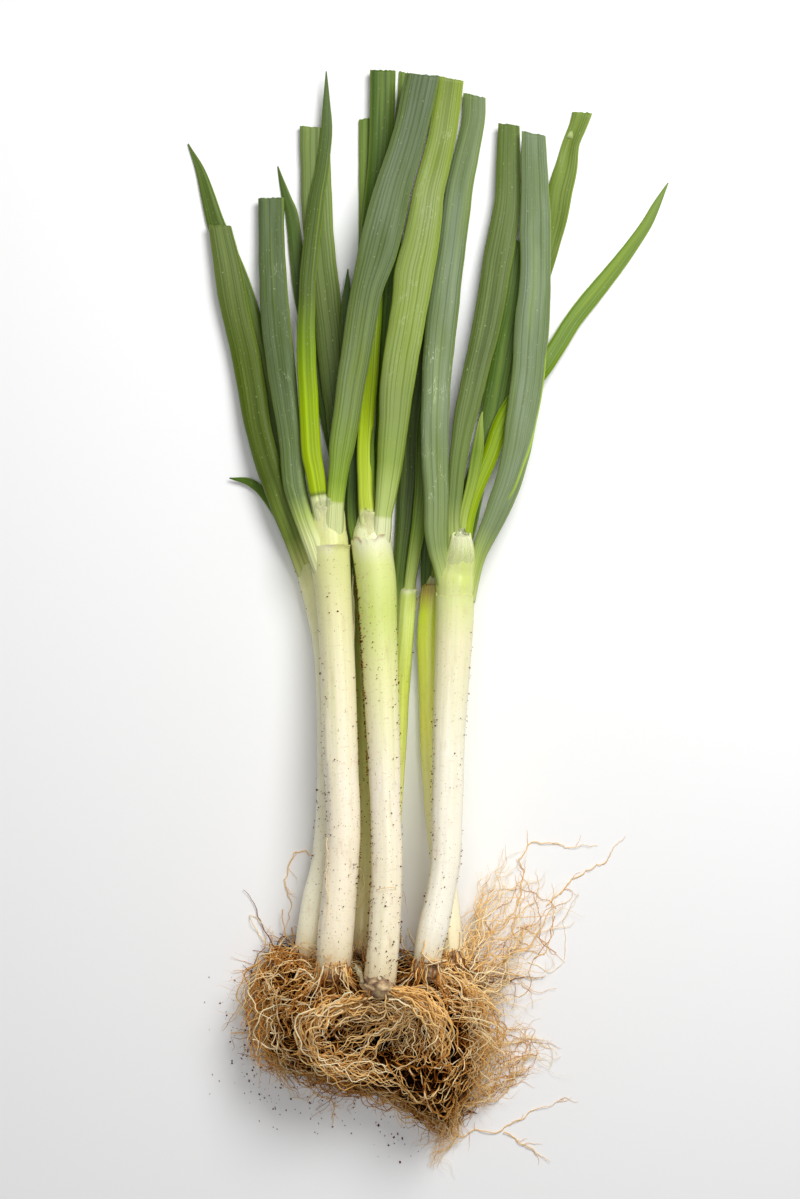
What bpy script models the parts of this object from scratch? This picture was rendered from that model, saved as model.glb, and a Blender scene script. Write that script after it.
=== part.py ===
"""A clump of seven spring onions, lying flat: leaves, stems, torn skins and one mat of roots."""

import math

import bmesh
import bpy
import numpy as np
from mathutils import Vector

# Frame: +Y runs from the roots to the leaf ends, +Z is up, and z = 0 is the surface it lies on.
# Every length below is in millimetres and is turned to metres once, in add_solid.
MM = 0.001

STEM_SIDES = 12
LEAF_SIDES = 8
LOOSE_ROOT_SIDES = 6
SKIN_SIDES = 9  # points across the arc of a skin
STEM_STATION = 14.0  # distance between two cross-sections of a stem
SKIN_STATION = 6.0
LUMP_STATION = 9.0
LOOSE_ROOT_STATION = 5.0
LEAF_STATION = 10.0  # distance between two cross-sections of a leaf
LEAF_THICKNESS = 0.26  # of its width: the hollow leaves lie pressed flat
LEAF_LEAST_THICKNESS = 1.2
GAP = 0.45  # air between two pieces that touch on the real thing
SAG = 0.15  # how far a leaf station sinks below the middle of its neighbours
SETTLING_ROUNDS = 400
SKIN_THICKNESS = 0.6
SKIN_LIFT = 0.5
# A root plate: how far each of its cross-sections is from the stem, and its size as a share of the stem's.
ROOT_PLATE = [(0, 0.86), (2, 0.8), (4.5, 0.45)]
# A root lump: the share of its height at each level, and the share of its outline there.
ROOT_LUMP_LEVELS = [(0, 0.96), (0.35, 1), (0.7, 0.92), (0.92, 0.7), (1, 0.4)]
LOOSE_ROOT_DIAMETER = 1.5
LOOSE_ROOT_TIP = 0.6  # its share of that diameter
SHARP_EDGE = 40  # degrees
CURVE_STEPS = 24  # fine steps between two given points of a curve
MAP_SIZE = (260, 520)  # the surface that the clump lies on, in 1 mm squares, with the origin in its middle
SCAN_STEP = 0.7  # less than one square, so that none is missed

COLOURS = {
    "leaf_blue_green": (0.16, 0.22, 0.11),
    "leaf_mid_green": (0.22, 0.31, 0.07),
    "leaf_young_green": (0.40, 0.52, 0.03),
    "stem_white": (0.83, 0.78, 0.58),
    "stem_green_white": (0.72, 0.74, 0.42),
    "skin_paper": (0.86, 0.80, 0.62),
    "root_plate_brown": (0.30, 0.18, 0.09),
    "root_tan": (0.42, 0.26, 0.13),
}

# Each stem runs from its root end to its neck: (x, y, height of its middle, diameter).
STEMS = {
    "a": [(-39, -142, 38, 14), (-38, -122, 35.5, 15), (-36, -98, 31.5, 14), (-36, -72, 27, 14),
          (-37, -32, 21.5, 14), (-39.5, 8, 17.5, 14), (-41.5, 30, 16, 16), (-42.5, 50, 15, 13)],
    "b": [(-21, -150, 43, 13), (-18.5, -127, 40, 13), (-17.5, -98, 35, 13), (-18.5, -60, 28.5, 13),
          (-20.5, -10, 21.5, 14.5), (-21.5, 19, 18, 15.5), (-23.5, 34, 16.5, 15.5), (-23.5, 48, 15.5, 12)],
    "c": [(0.5, -141, 38, 12.5), (2, -120, 35.5, 13), (6, -98, 31.5, 12.5), (8, -65, 26.5, 13),
          (9.5, -23, 21, 14.5), (11, 5, 18, 16), (11, 27, 16.5, 17)],
    "d": [(-50, -136, 24, 11.5), (-44, -102, 16, 11), (-41.5, -72, 9, 11), (-41.5, -48, 6, 11),
          (-43, -12, 5.5, 10.5), (-47.5, 10, 5.2, 10), (-52.5, 29, 5, 9.5)],
    "e": [(-28, -133, 21, 9.5), (-26.5, -98, 13, 9.5), (-27, -65, 6.5, 9.5), (-27.5, -32, 5, 9.5),
          (-29.5, 22, 4.8, 9)],
    "f": [(-15, -130, 17, 7.5), (-15, -80, 7.5, 7.5), (-13, -48, 4.2, 7.5), (-10, -5, 4, 7.2),
          (-8.5, 17, 3.8, 6)],
    "g": [(10, -138, 23, 8.5), (6, -100, 14, 9.5), (2, -62, 7, 10), (1, -25, 5.2, 10), (1.5, 16, 4.8, 9)],
}

# Leaves in the order in which they lie, lowest first. A route runs from the neck of the stem to
# the free end: (x, y, width). "neck" is the height at which the leaf leaves its stem.
LEAVES = [
    {"name": "d_leaf_curled", "green": "leaf_mid_green", "neck": 4,
     "route": [(-58, 37, 5), (-68, 53, 4), (-75, 60, 3.4), (-84, 62, 1)]},
    {"name": "d_leaf_pointed", "green": "leaf_mid_green", "neck": 4,
     "route": [(-55, 36, 7), (-62, 73, 8), (-70, 106, 8), (-76, 132, 9), (-90, 170, 7.5),
               (-96, 190, 4.6), (-101.2, 203, 1)]},
    {"name": "d_leaf_cut", "green": "leaf_mid_green", "neck": 7,
     "route": [(-55, 32, 8.8), (-62, 52, 10), (-70, 78, 11), (-81, 132, 12), (-88, 168, 9.5)]},
    {"name": "e_leaf_narrow", "green": "leaf_mid_green", "neck": 3,
     "route": [(-29, 27, 4.5), (-28, 95, 6), (-26.5, 160, 6.5), (-26, 214, 6.5)]},
    {"name": "e_leaf_pointed", "green": "leaf_blue_green", "neck": 4,
     "route": [(-31, 27, 5), (-41, 82, 7), (-53, 136, 7), (-57, 172, 5.5), (-63.5, 194, 1)]},
    {"name": "e_leaf_broad", "green": "leaf_mid_green", "neck": 6,
     "route": [(-30, 28, 7), (-33, 44, 8), (-37, 78, 9.5), (-41, 115, 12), (-46, 168, 13), (-48, 210, 13)]},
    {"name": "g_leaf_crumpled", "green": "leaf_mid_green", "neck": 3.5,
     "route": [(2, 20, 6), (6, 36, 6), (15, 55, 7), (28, 86, 8), (47, 147, 8), (54, 172, 9.5),
               (58, 193, 9.5), (65, 217, 8.4)]},
    {"name": "g_leaf_short", "green": "leaf_blue_green", "neck": 4.5,
     "route": [(-1, 20, 4.5), (0, 36, 5), (2, 58, 4.5), (3, 84, 1)]},
    {"name": "f_leaf_broad", "green": "leaf_blue_green", "neck": 4,
     "route": [(-10.5, 21, 5.5), (-9.5, 41, 8), (-7.5, 68, 10), (-2, 124, 11), (8, 182, 10)]},
    {"name": "c_leaf_back", "green": "leaf_mid_green", "neck": 12,
     "route": [(15, 32, 5), (17.5, 44, 6.5), (27, 90, 10), (32, 116, 10.5), (39, 162, 9)]},
    {"name": "c_leaf_long_pointed", "green": "leaf_young_green", "neck": 14,
     "route": [(15.5, 40, 6), (25, 70, 7), (38, 97, 7.5), (54, 117, 7.5), (68, 138, 7.6),
               (90, 167, 5), (101.2, 187, 1)]},
    {"name": "f_leaf_narrow", "green": "leaf_young_green", "neck": 4.5,
     "route": [(-7.5, 22, 5), (-4.5, 40, 6), (-1.5, 86, 6), (0.5, 124, 1)]},
    {"name": "b_leaf_short_pointed", "green": "leaf_blue_green", "neck": 11,
     "route": [(-31.8, 50, 5), (-33, 94, 5.5), (-34.7, 122, 5), (-33.8, 150, 1)]},
    {"name": "b_leaf_ragged", "green": "leaf_young_green", "neck": 13.5,
     "route": [(-22.5, 51, 4.5), (-20, 82, 5), (-15, 153, 6.5), (-11, 212, 6.5), (-10, 233.5, 5)]},
    {"name": "b_leaf_two_tone", "green": "leaf_young_green", "neck": 14,
     "route": [(-27, 50, 6), (-26.5, 78, 7), (-24, 136, 8.4), (-21, 189, 10.5), (-19, 234.4, 11)]},
    {"name": "c_leaf_hooked", "green": "leaf_young_green", "neck": 15,
     "route": [(14.5, 44, 4), (18.5, 61, 4.5), (21, 76, 4.5), (22.7, 90, 1)]},
    {"name": "c_leaf_grey_green", "green": "leaf_mid_green", "neck": 16,
     "route": [(10.5, 36, 5), (13, 73, 8), (23.5, 121, 11.5), (30, 158, 12.5), (34, 211, 9)]},
    {"name": "c_leaf_blue_left", "green": "leaf_blue_green", "neck": 17,
     "route": [(5.5, 30, 7), (3, 50, 10), (3.2, 95, 12), (6.5, 137, 12.6), (13, 183, 11.5), (20, 223, 9.2)]},
    {"name": "c_leaf_slit", "green": "leaf_blue_green", "neck": 18,
     "route": [(23, 36, 7), (29, 48, 9.5), (36, 72, 11.5), (42, 105, 14), (45, 149, 13), (44, 206, 9.7)]},
    {"name": "a_leaf_blue", "green": "leaf_blue_green", "neck": 14,
     "route": [(-54, 51, 7.5), (-58, 78, 9.7), (-63, 111, 12), (-65, 147, 11.5), (-67, 180, 11)]},
    {"name": "a_leaf_pointed", "green": "leaf_young_green", "neck": 15,
     "route": [(-46, 53, 7), (-49.5, 78, 8), (-51.5, 116, 7.8), (-48, 173, 6.7), (-43, 212, 4.4),
               (-42.8, 233, 1)]},
    {"name": "b_leaf_tiny", "green": "leaf_young_green", "neck": 16,
     "route": [(-23.3, 53, 2), (-23.6, 68, 2), (-23, 83, 1)]},
    {"name": "b_leaf_wide", "green": "leaf_mid_green", "neck": 17,
     "route": [(-18.5, 51, 6.5), (-15.5, 78, 12), (-8, 132, 15.5), (-2, 164, 15.5), (9.5, 230, 11.5)]},
    {"name": "a_leaf_large", "green": "leaf_blue_green", "neck": 17,
     "route": [(-39, 54, 6.7), (-36, 78, 11), (-26, 139, 13.5), (-20.5, 160, 16.5), (-8, 205, 14),
               (-2.7, 230, 14.5)]},
]

# Papery skins still round a stem: how far along y, and the arc that they cover, in degrees
# from +X over the top of the stem.
SKINS = [
    {"name": "a_torn_skin", "stem": "a", "ends": (31, 49), "arc": (60, 190)},
    {"name": "a_peeling_strip", "stem": "a", "ends": (-19, 7), "arc": (-5, 40)},
    {"name": "b_brown_collar", "stem": "b", "ends": (32, 41), "arc": (-10, 190)},
    {"name": "b_root_scale", "stem": "b", "ends": (-148, -136), "arc": (120, 205)},
    {"name": "c_clear_collar", "stem": "c", "ends": (6, 26), "arc": (-10, 150)},
    {"name": "f_collar_flap", "stem": "f", "ends": (4, 16), "arc": (-10, 120)},
]

# The root mat, plant by plant: the outline on the surface, and the height of each lump.
ROOT_LUMPS = {
    "a_roots": {"height": 44, "outline": [(-33, -155), (-40, -152), (-46, -157), (-46.5, -187), (-40, -191),
                                          (-33, -189)]},
    "b_roots": {"height": 48, "outline": [(-14, -163), (-27, -163), (-28, -190), (-23, -197), (-14, -196)]},
    "c_roots": {"height": 40, "outline": [(-5, -157), (8, -151), (17, -155), (19, -176), (15, -195), (-3, -200),
                                          (-9, -195), (-9, -165)]},
    "d_roots": {"height": 34, "outline": [(-52, -148), (-60, -138), (-69, -134), (-74, -150), (-73, -178),
                                          (-65, -186), (-52, -184)]},
    "e_roots": {"height": 22, "outline": [(-45, -141), (-30, -140), (-28, -148), (-44, -148)]},
    "f_roots": {"height": 16, "outline": [(-23, -139), (-4, -138), (-4, -146), (-13, -154), (-23, -156)]},
    "g_roots": {"height": 16, "outline": [(24, -154), (36, -158), (50, -168), (57, -180), (48, -196),
                                          (36, -206), (22, -201), (24, -178)]},
    "c_root_fan": {"height": 9, "outline": [(18, -126), (30, -110), (44, -109), (53, -118), (50, -136),
                                            (36, -148), (19, -144)]},
    "b_root_tail": {"height": 7, "outline": [(-8, -207), (6, -207), (9, -214), (4, -226), (1, -234.2),
                                             (-1, -226), (-6, -216)]},
}

# Single roots that lie free of the mat, flat on the surface.
LOOSE_ROOTS = [
    [(54.5, -115), (61, -108), (69, -103), (78, -95), (83, -90)],
    [(40, -107), (40, -99), (44, -93), (60, -94), (73, -93)],
    [(-52, -97), (-57, -96), (-60, -103), (-60, -112), (-63, -126)],
    [(-83, -172), (-80, -173), (-77, -170)],
    [(-49, -198), (-42, -200), (-40, -205), (-41, -212)],
    [(12.5, -216), (20, -213.5), (30, -213.5), (41, -208), (50, -203), (58, -201)],
    [(32, -216), (40, -221), (52, -227)],
]

laid_height = np.zeros(MAP_SIZE)  # the top of what is already laid, in 1 mm squares


def clear_scene():
    for obj in list(bpy.data.objects):
        bpy.data.objects.remove(obj)


def material(name):
    found = bpy.data.materials.get(name)
    if found:
        return found
    made = bpy.data.materials.new(name)
    made.use_nodes = True
    shader = made.node_tree.nodes["Principled BSDF"]
    shader.inputs["Base Color"].default_value = (*COLOURS[name], 1)
    shader.inputs["Roughness"].default_value = 0.5
    return made


def add_solid(name, rings, colour):
    """One closed body through the rings, each a closed loop of as many points, with both ends capped."""
    mesh = bmesh.new()
    loops = [[mesh.verts.new(Vector(point) * MM) for point in ring] for ring in rings]
    sides = len(loops[0])
    for lower, upper in zip(loops, loops[1:]):
        for i in range(sides):
            j = (i + 1) % sides
            mesh.faces.new((lower[i], lower[j], upper[j], upper[i]))
    mesh.faces.new(loops[0][::-1])
    mesh.faces.new(loops[-1])
    bmesh.ops.recalc_face_normals(mesh, faces=mesh.faces)
    data = bpy.data.meshes.new(name)
    mesh.to_mesh(data)
    mesh.free()
    data.shade_smooth()
    data.set_sharp_from_angle(angle=math.radians(SHARP_EDGE))
    data.materials.append(material(colour))
    bpy.context.scene.collection.objects.link(bpy.data.objects.new(name, data))


def smooth_curve(points, spacing, closed=False):
    """Evenly spaced points on a smooth curve through the given ones. Any further values, such as widths, follow."""
    points = np.array(points, float)
    if closed:
        padded = np.vstack([points[-1], points, points[0], points[1]])
    else:
        padded = np.vstack([2 * points[0] - points[1], points, 2 * points[-1] - points[-2]])
    fine = []
    for before, start, end, after in zip(padded, padded[1:], padded[2:], padded[3:]):
        for t in np.linspace(0, 1, CURVE_STEPS, endpoint=False):
            fine.append(0.5 * (2 * start + (end - before) * t
                               + (2 * before - 5 * start + 4 * end - after) * t ** 2
                               + (3 * start - before - 3 * end + after) * t ** 3))
    fine.append(points[0] if closed else points[-1])
    fine = np.array(fine)
    travelled = np.concatenate([[0], np.cumsum(np.linalg.norm(np.diff(fine[:, :2], axis=0), axis=1))])
    count = max(3, round(travelled[-1] / spacing) + 1)
    stations = np.linspace(0, travelled[-1], count)[: count - closed]
    return np.column_stack([np.interp(stations, travelled, column) for column in fine.T])


def directions(centres):
    ahead = np.gradient(centres, axis=0)
    return ahead / np.linalg.norm(ahead, axis=1, keepdims=True)


def oval_rings(centres, widths, thicknesses, sides):
    rings = []
    for centre, ahead, width, thickness in zip(centres, directions(centres), widths, thicknesses):
        ahead = Vector(ahead)
        across = Vector((0, 0, 1)).cross(ahead).normalized()
        up = ahead.cross(across)
        angles = [2 * math.pi * (i + 0.5) / sides for i in range(sides)]
        rings.append([Vector(centre) + across * (width / 2 * math.cos(a)) + up * (thickness / 2 * math.sin(a))
                      for a in angles])
    return rings


def squares_under(start, end):
    """The 1 mm squares under a leaf between two of its stations, each (x, y, width, ...), with 1 mm to spare."""
    run = np.array(end[:2]) - np.array(start[:2])
    across = np.array([-run[1], run[0]]) / np.linalg.norm(run)
    found = set()
    for t in np.linspace(0, 1, int(np.linalg.norm(run) / SCAN_STEP) + 2):
        reach = ((1 - t) * start[2] + t * end[2]) / 2 + 1
        middle = np.array(start[:2]) + run * t
        for offset in np.linspace(-reach, reach, int(2 * reach / SCAN_STEP) + 2):
            x, y = middle + across * offset
            found.add((round(x) + MAP_SIZE[0] // 2, round(y) + MAP_SIZE[1] // 2))
    return tuple(np.array(sorted(found)).T)


def settle(stations, neck):
    """The height of a leaf's middle at each station: it hangs from its neck and lies on what is below it."""
    half_thickness = np.maximum(stations[:, 2] * LEAF_THICKNESS, LEAF_LEAST_THICKNESS) / 2
    rest = np.zeros(len(stations))
    for i, (start, end) in enumerate(zip(stations, stations[1:])):
        below = laid_height[squares_under(start, end)].max()
        rest[i] = max(rest[i], below)
        rest[i + 1] = max(rest[i + 1], below)
    lowest = rest + half_thickness + np.where(rest > 0, GAP, 0)
    height = np.maximum(lowest, neck)
    for _ in range(SETTLING_ROUNDS):
        middle = (height[:-2] + height[2:]) / 2 - SAG
        height[1:-1] = np.maximum(lowest[1:-1], (height[1:-1] + middle) / 2)
        height[-1] = max(lowest[-1], height[-2])
    return height, half_thickness


def lay(stations, tops):
    for start, end, top_start, top_end in zip(stations, stations[1:], tops, tops[1:]):
        squares = squares_under(start, end)
        laid_height[squares] = np.maximum(laid_height[squares], max(top_start, top_end))


def add_leaf(name, green, neck, route):
    stations = smooth_curve(route, LEAF_STATION)
    height, half_thickness = settle(stations, neck)
    lay(stations, height + half_thickness)
    centres = np.column_stack([stations[:, :2], height])
    add_solid(name, oval_rings(centres, stations[:, 2], 2 * half_thickness, LEAF_SIDES), green)


def add_stem(plant, points):
    stations = smooth_curve(points, STEM_STATION)
    centres, widths = stations[:, :3], stations[:, 3]
    add_solid(f"{plant}_stem", oval_rings(centres, widths, widths, STEM_SIDES),
              "stem_white" if plant in "abc" else "stem_green_white")
    towards_root = -directions(centres)[0]
    plate = [centres[0] + towards_root * (GAP + reach) for reach, _ in ROOT_PLATE]
    sizes = np.array([share for _, share in ROOT_PLATE]) * widths[0]
    add_solid(f"{plant}_root_plate", oval_rings(np.array(plate), sizes, sizes, STEM_SIDES), "root_plate_brown")


def add_skin(name, stem, ends, arc):
    """A bent sheet round part of a stem, a little proud of it."""
    stations = smooth_curve(STEMS[stem], SKIN_STATION / 3)
    low, high = ends
    chosen = stations[(stations[:, 1] >= low) & (stations[:, 1] <= high)][::3]
    angles = np.radians(np.linspace(*arc, SKIN_SIDES))
    rings = []
    for x, y, z, width in chosen:
        inner = width / 2 + SKIN_LIFT
        outer = inner + SKIN_THICKNESS
        rings.append([(x + outer * math.cos(a), y, z + outer * math.sin(a)) for a in angles]
                     + [(x + inner * math.cos(a), y, z + inner * math.sin(a)) for a in angles[::-1]])
    add_solid(name, rings, "skin_paper")


def add_root_lump(name, height, outline):
    """A lump with a flat underside, straight sides and a rounded top."""
    edge = smooth_curve(outline, LUMP_STATION, closed=True)[:, :2]
    middle = edge.mean(axis=0)
    rings = []
    for share, scale in ROOT_LUMP_LEVELS:
        rings.append([(*point, share * height) for point in middle + (edge - middle) * scale])
    add_solid(name, rings, "root_tan")


def add_loose_root(number, points):
    stations = smooth_curve(points, LOOSE_ROOT_STATION)
    centres = np.column_stack([stations, np.full(len(stations), LOOSE_ROOT_DIAMETER / 2)])
    sizes = np.linspace(1, LOOSE_ROOT_TIP, len(centres)) * LOOSE_ROOT_DIAMETER
    add_solid(f"loose_root_{number}", oval_rings(centres, sizes, sizes, LOOSE_ROOT_SIDES), "root_tan")


def build():
    clear_scene()
    for plant, points in STEMS.items():
        add_stem(plant, points)
    for leaf in LEAVES:
        add_leaf(**leaf)
    for skin in SKINS:
        add_skin(**skin)
    for name, lump in ROOT_LUMPS.items():
        add_root_lump(name, **lump)
    for number, points in enumerate(LOOSE_ROOTS, 1):
        add_loose_root(number, points)


build()
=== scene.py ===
# Seven spring onions that have grown into one clump, lying on a pale table: hollow leaves, rolled white
# stems, torn skins and a mat of roots. +Y runs from the roots to the leaf ends.
import math

import bpy
import numpy as np
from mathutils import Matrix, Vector
from mathutils.bvhtree import BVHTree


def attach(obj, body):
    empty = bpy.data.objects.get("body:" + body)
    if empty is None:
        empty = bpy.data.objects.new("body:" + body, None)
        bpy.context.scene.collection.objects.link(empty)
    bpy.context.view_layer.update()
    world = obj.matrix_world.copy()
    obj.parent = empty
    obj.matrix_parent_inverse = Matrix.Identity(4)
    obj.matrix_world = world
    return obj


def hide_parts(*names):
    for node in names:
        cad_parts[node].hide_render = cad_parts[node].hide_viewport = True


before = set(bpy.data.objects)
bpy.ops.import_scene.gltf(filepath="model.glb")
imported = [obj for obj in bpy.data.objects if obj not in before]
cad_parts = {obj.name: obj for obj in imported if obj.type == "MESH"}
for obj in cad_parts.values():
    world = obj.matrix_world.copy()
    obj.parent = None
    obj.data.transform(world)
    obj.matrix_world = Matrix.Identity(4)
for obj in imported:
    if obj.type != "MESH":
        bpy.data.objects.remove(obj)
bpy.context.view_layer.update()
mm = 0.001  # every length is in mm until a mesh is made
stepsBetweenPoints = 16


def smoothPath(points, spacing):
    # a curve through all the points, as stations that are evenly spaced in plan, and their distances
    points = np.array(points, float)
    padded = np.vstack([2 * points[0] - points[1], points, 2 * points[-1] - points[-2]])
    t = np.linspace(0, 1, stepsBetweenPoints, endpoint=False)[:, None]
    fine = [0.5 * (2 * b + (c - a) * t + (2 * a - 5 * b + 4 * c - d) * t ** 2
                   + (3 * b - a - 3 * c + d) * t ** 3)
            for a, b, c, d in zip(padded, padded[1:], padded[2:], padded[3:])]
    fine = np.vstack(fine + [points[-1:]])
    travelled = np.concatenate([[0], np.cumsum(np.linalg.norm(np.diff(fine[:, :2], axis=0), axis=1))])
    stations = np.linspace(0, travelled[-1], max(4, round(travelled[-1] / spacing) + 1))
    return np.column_stack([np.interp(stations, travelled, column) for column in fine.T]), stations


def wander(rng, distance, wavelength, amount):
    # a smooth random curve: three sines that don't repeat together
    total = np.zeros_like(distance)
    for share, stretch in ((0.6, 1.0), (0.3, 0.47), (0.18, 0.21)):
        phase, pace = rng.uniform(0, 2 * math.pi), rng.uniform(0.8, 1.25)
        total += share * np.sin(2 * math.pi * distance * pace / (wavelength * stretch) + phase)
    return amount * total


def crumple(rng, around, along, folds):
    # an uneven surface between -1 and 1: waves that cross at many angles
    total = np.zeros(np.broadcast(around, along).shape)
    for _ in range(7):
        a, b = rng.normal(0, folds, 2)
        total += np.sin(a * around + b * along + rng.uniform(0, 6)) / 4
    return total


def smoothed(values, rounds):
    values = np.array(values, float)
    for _ in range(rounds):
        values[1:-1] = (values[:-2] + 2 * values[1:-1] + values[2:]) / 4
    return values


def ramp(values, start, end):
    # 0 before start, 1 after end, and even in between
    return np.clip((values - start) / (end - start), 0, 1)


def bell(values, middle, width):
    return np.exp(-((values - middle) / width) ** 2)


def turnOf(sides):
    return np.linspace(0, 2 * math.pi, sides, endpoint=False)


def quadsOf(count, sides):
    # the faces between neighbouring rings, as four columns of point numbers
    low = (np.arange(count - 1)[:, None] * sides + np.arange(sides)).ravel()
    turned = (np.arange(count - 1)[:, None] * sides + (np.arange(sides) + 1) % sides).ravel()
    return np.column_stack([low, turned, turned + sides, low + sides])


def ringsRound(centres, across, up, wide, high):
    return centres[:, None] + across[:, None] * wide[..., None] + up[:, None] * high[..., None]


def framesAlong(centres):
    ahead = np.gradient(centres, axis=0)
    ahead /= np.linalg.norm(ahead, axis=1, keepdims=True)
    across = np.cross([0, 0, 1], ahead)
    across /= np.maximum(np.linalg.norm(across, axis=1, keepdims=True), 1e-6)
    return ahead, across, np.cross(ahead, across)


def loftMesh(name, rings, distance, facts, closeStart=True, closeEnd=True):
    # rings is stations x sides x 3; facts are one value per station, or per station and side
    count, sides = rings.shape[:2]
    quads = quadsOf(count, sides)
    low, faces = quads[:, 0], quads.tolist()
    if closeStart:
        faces.append(list(range(sides))[::-1])
    if closeEnd:
        faces.append(list(range((count - 1) * sides, count * sides)))
    mesh = bpy.data.meshes.new(name)
    mesh.from_pydata((rings.reshape(-1, 3) * mm).tolist(), [], faces)
    step = np.linalg.norm(np.diff(rings, axis=1), axis=2).mean() / 10
    layer = mesh.uv_layers.new(name="grain")  # u runs round the piece and v along it, both in cm
    around, along = np.tile(np.arange(sides), count - 1) * step, np.repeat(distance / 10, sides)
    corners = [np.column_stack([around, along[low]]), np.column_stack([around + step, along[low]]),
               np.column_stack([around + step, along[low + sides]]),
               np.column_stack([around, along[low + sides]])]
    uv = np.zeros((len(mesh.loops), 2))
    uv[:4 * len(low)] = np.stack(corners, axis=1).reshape(-1, 2)
    layer.data.foreach_set("uv", uv.ravel())
    for key, values in facts.items():
        values = np.array(values, float)
        if values.ndim == 1:
            values = np.repeat(values[:, None], sides, axis=1)
        mesh.attributes.new(key, "FLOAT", "POINT").data.foreach_set("value", values.ravel())
    mesh.shade_smooth()
    return mesh


def addPiece(name, mesh, materialUsed, nodes=()):
    piece = bpy.data.objects.new(name, mesh)
    bpy.context.scene.collection.objects.link(piece)
    mesh.materials.append(materialUsed)
    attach(piece, "root")
    if nodes:
        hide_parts(*nodes)


def surfaceOf(node):
    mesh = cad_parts[node].data
    return BVHTree.FromPolygons([v.co for v in mesh.vertices], [p.vertices for p in mesh.polygons])


def hitFrom(tree, x, y, side):
    # where a vertical ray from above (side 1) or below (side -1) meets a surface
    return tree.ray_cast(Vector((x * mm, y * mm, side)), Vector((0, 0, -side)))[0]


def middleHeights(node, xy):
    # half way between the top and the underside of a CAD solid, where there is one under the point
    tree = surfaceOf(node)
    hits = [(hitFrom(tree, x, y, 1), hitFrom(tree, x, y, -1)) for x, y in xy]
    return np.array([(above.z + below.z) / 2 / mm if above and below else np.nan
                     for above, below in hits])


def linear(hexColour):
    channels = [int(hexColour[i:i + 2], 16) / 255 for i in (1, 3, 5)]
    return tuple(c / 12.92 if c <= 0.04045 else ((c + 0.055) / 1.055) ** 2.4 for c in channels) + (1,)


def addNode(tree, kind, links=(), out=0, stops=(), **settings):
    # links are the node's inputs, each another node's output or a plain value; out is the output to use
    node = tree.nodes.new("ShaderNode" + kind)
    for key, value in settings.items():
        setattr(node, key, value)
    for socket, value in dict(links).items():
        if isinstance(value, bpy.types.NodeSocket):
            tree.links.new(value, node.inputs[socket])
        else:
            node.inputs[socket].default_value = value
    for number, (place, colour) in enumerate(stops):
        elements = node.color_ramp.elements
        element = elements[number] if number < len(elements) else elements.new(place)
        element.position, element.color = place, linear(colour)
    return node.outputs[out]


def newMaterial(name, roughness, ior=1.45):
    made = bpy.data.materials.new(name)
    made.use_nodes = True
    shader = made.node_tree.nodes["Principled BSDF"]
    shader.inputs["Roughness"].default_value = roughness
    shader.inputs["IOR"].default_value = ior
    return made, made.node_tree, shader.inputs


def streaks(tree, acrossMm, alongMm, detail, shift):
    # a pattern that is stretched along the piece; acrossMm and alongMm are the size of one streak
    uv = addNode(tree, "UVMap", uv_map="grain")
    place = addNode(tree, "Mapping", {0: uv, 1: (shift, shift, 0), 3: (10 / acrossMm, 10 / alongMm, 1)})
    return addNode(tree, "TexNoise", {"Vector": place, "Scale": 1.0, "Detail": detail, "Roughness": 0.55})


def tint(tree, colour, pattern, start, end, strength, over, within=None, blend="MIX"):
    # lays a colour over another one where the pattern passes from start to end, within an area if given
    share = addNode(tree, "MapRange", {0: pattern, 1: start, 2: end, 4: strength},
                    interpolation_type="SMOOTHSTEP")
    if within:
        share = addNode(tree, "Math", {0: share, 1: within}, operation="MULTIPLY")
    return addNode(tree, "Mix", {0: share, 6: colour, 7: linear(over)}, out=2, data_type="RGBA",
                   blend_type=blend)


def finished(made, tree, inputs, colour, relief, height, strength):
    # the last links of a material: its colour, and a pattern that stands up by its height in mm
    tree.links.new(colour, inputs["Base Color"])
    bump = addNode(tree, "Bump", {"Height": relief, "Distance": height * mm, "Strength": strength})
    tree.links.new(bump, inputs["Normal"])
    return made


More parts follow.
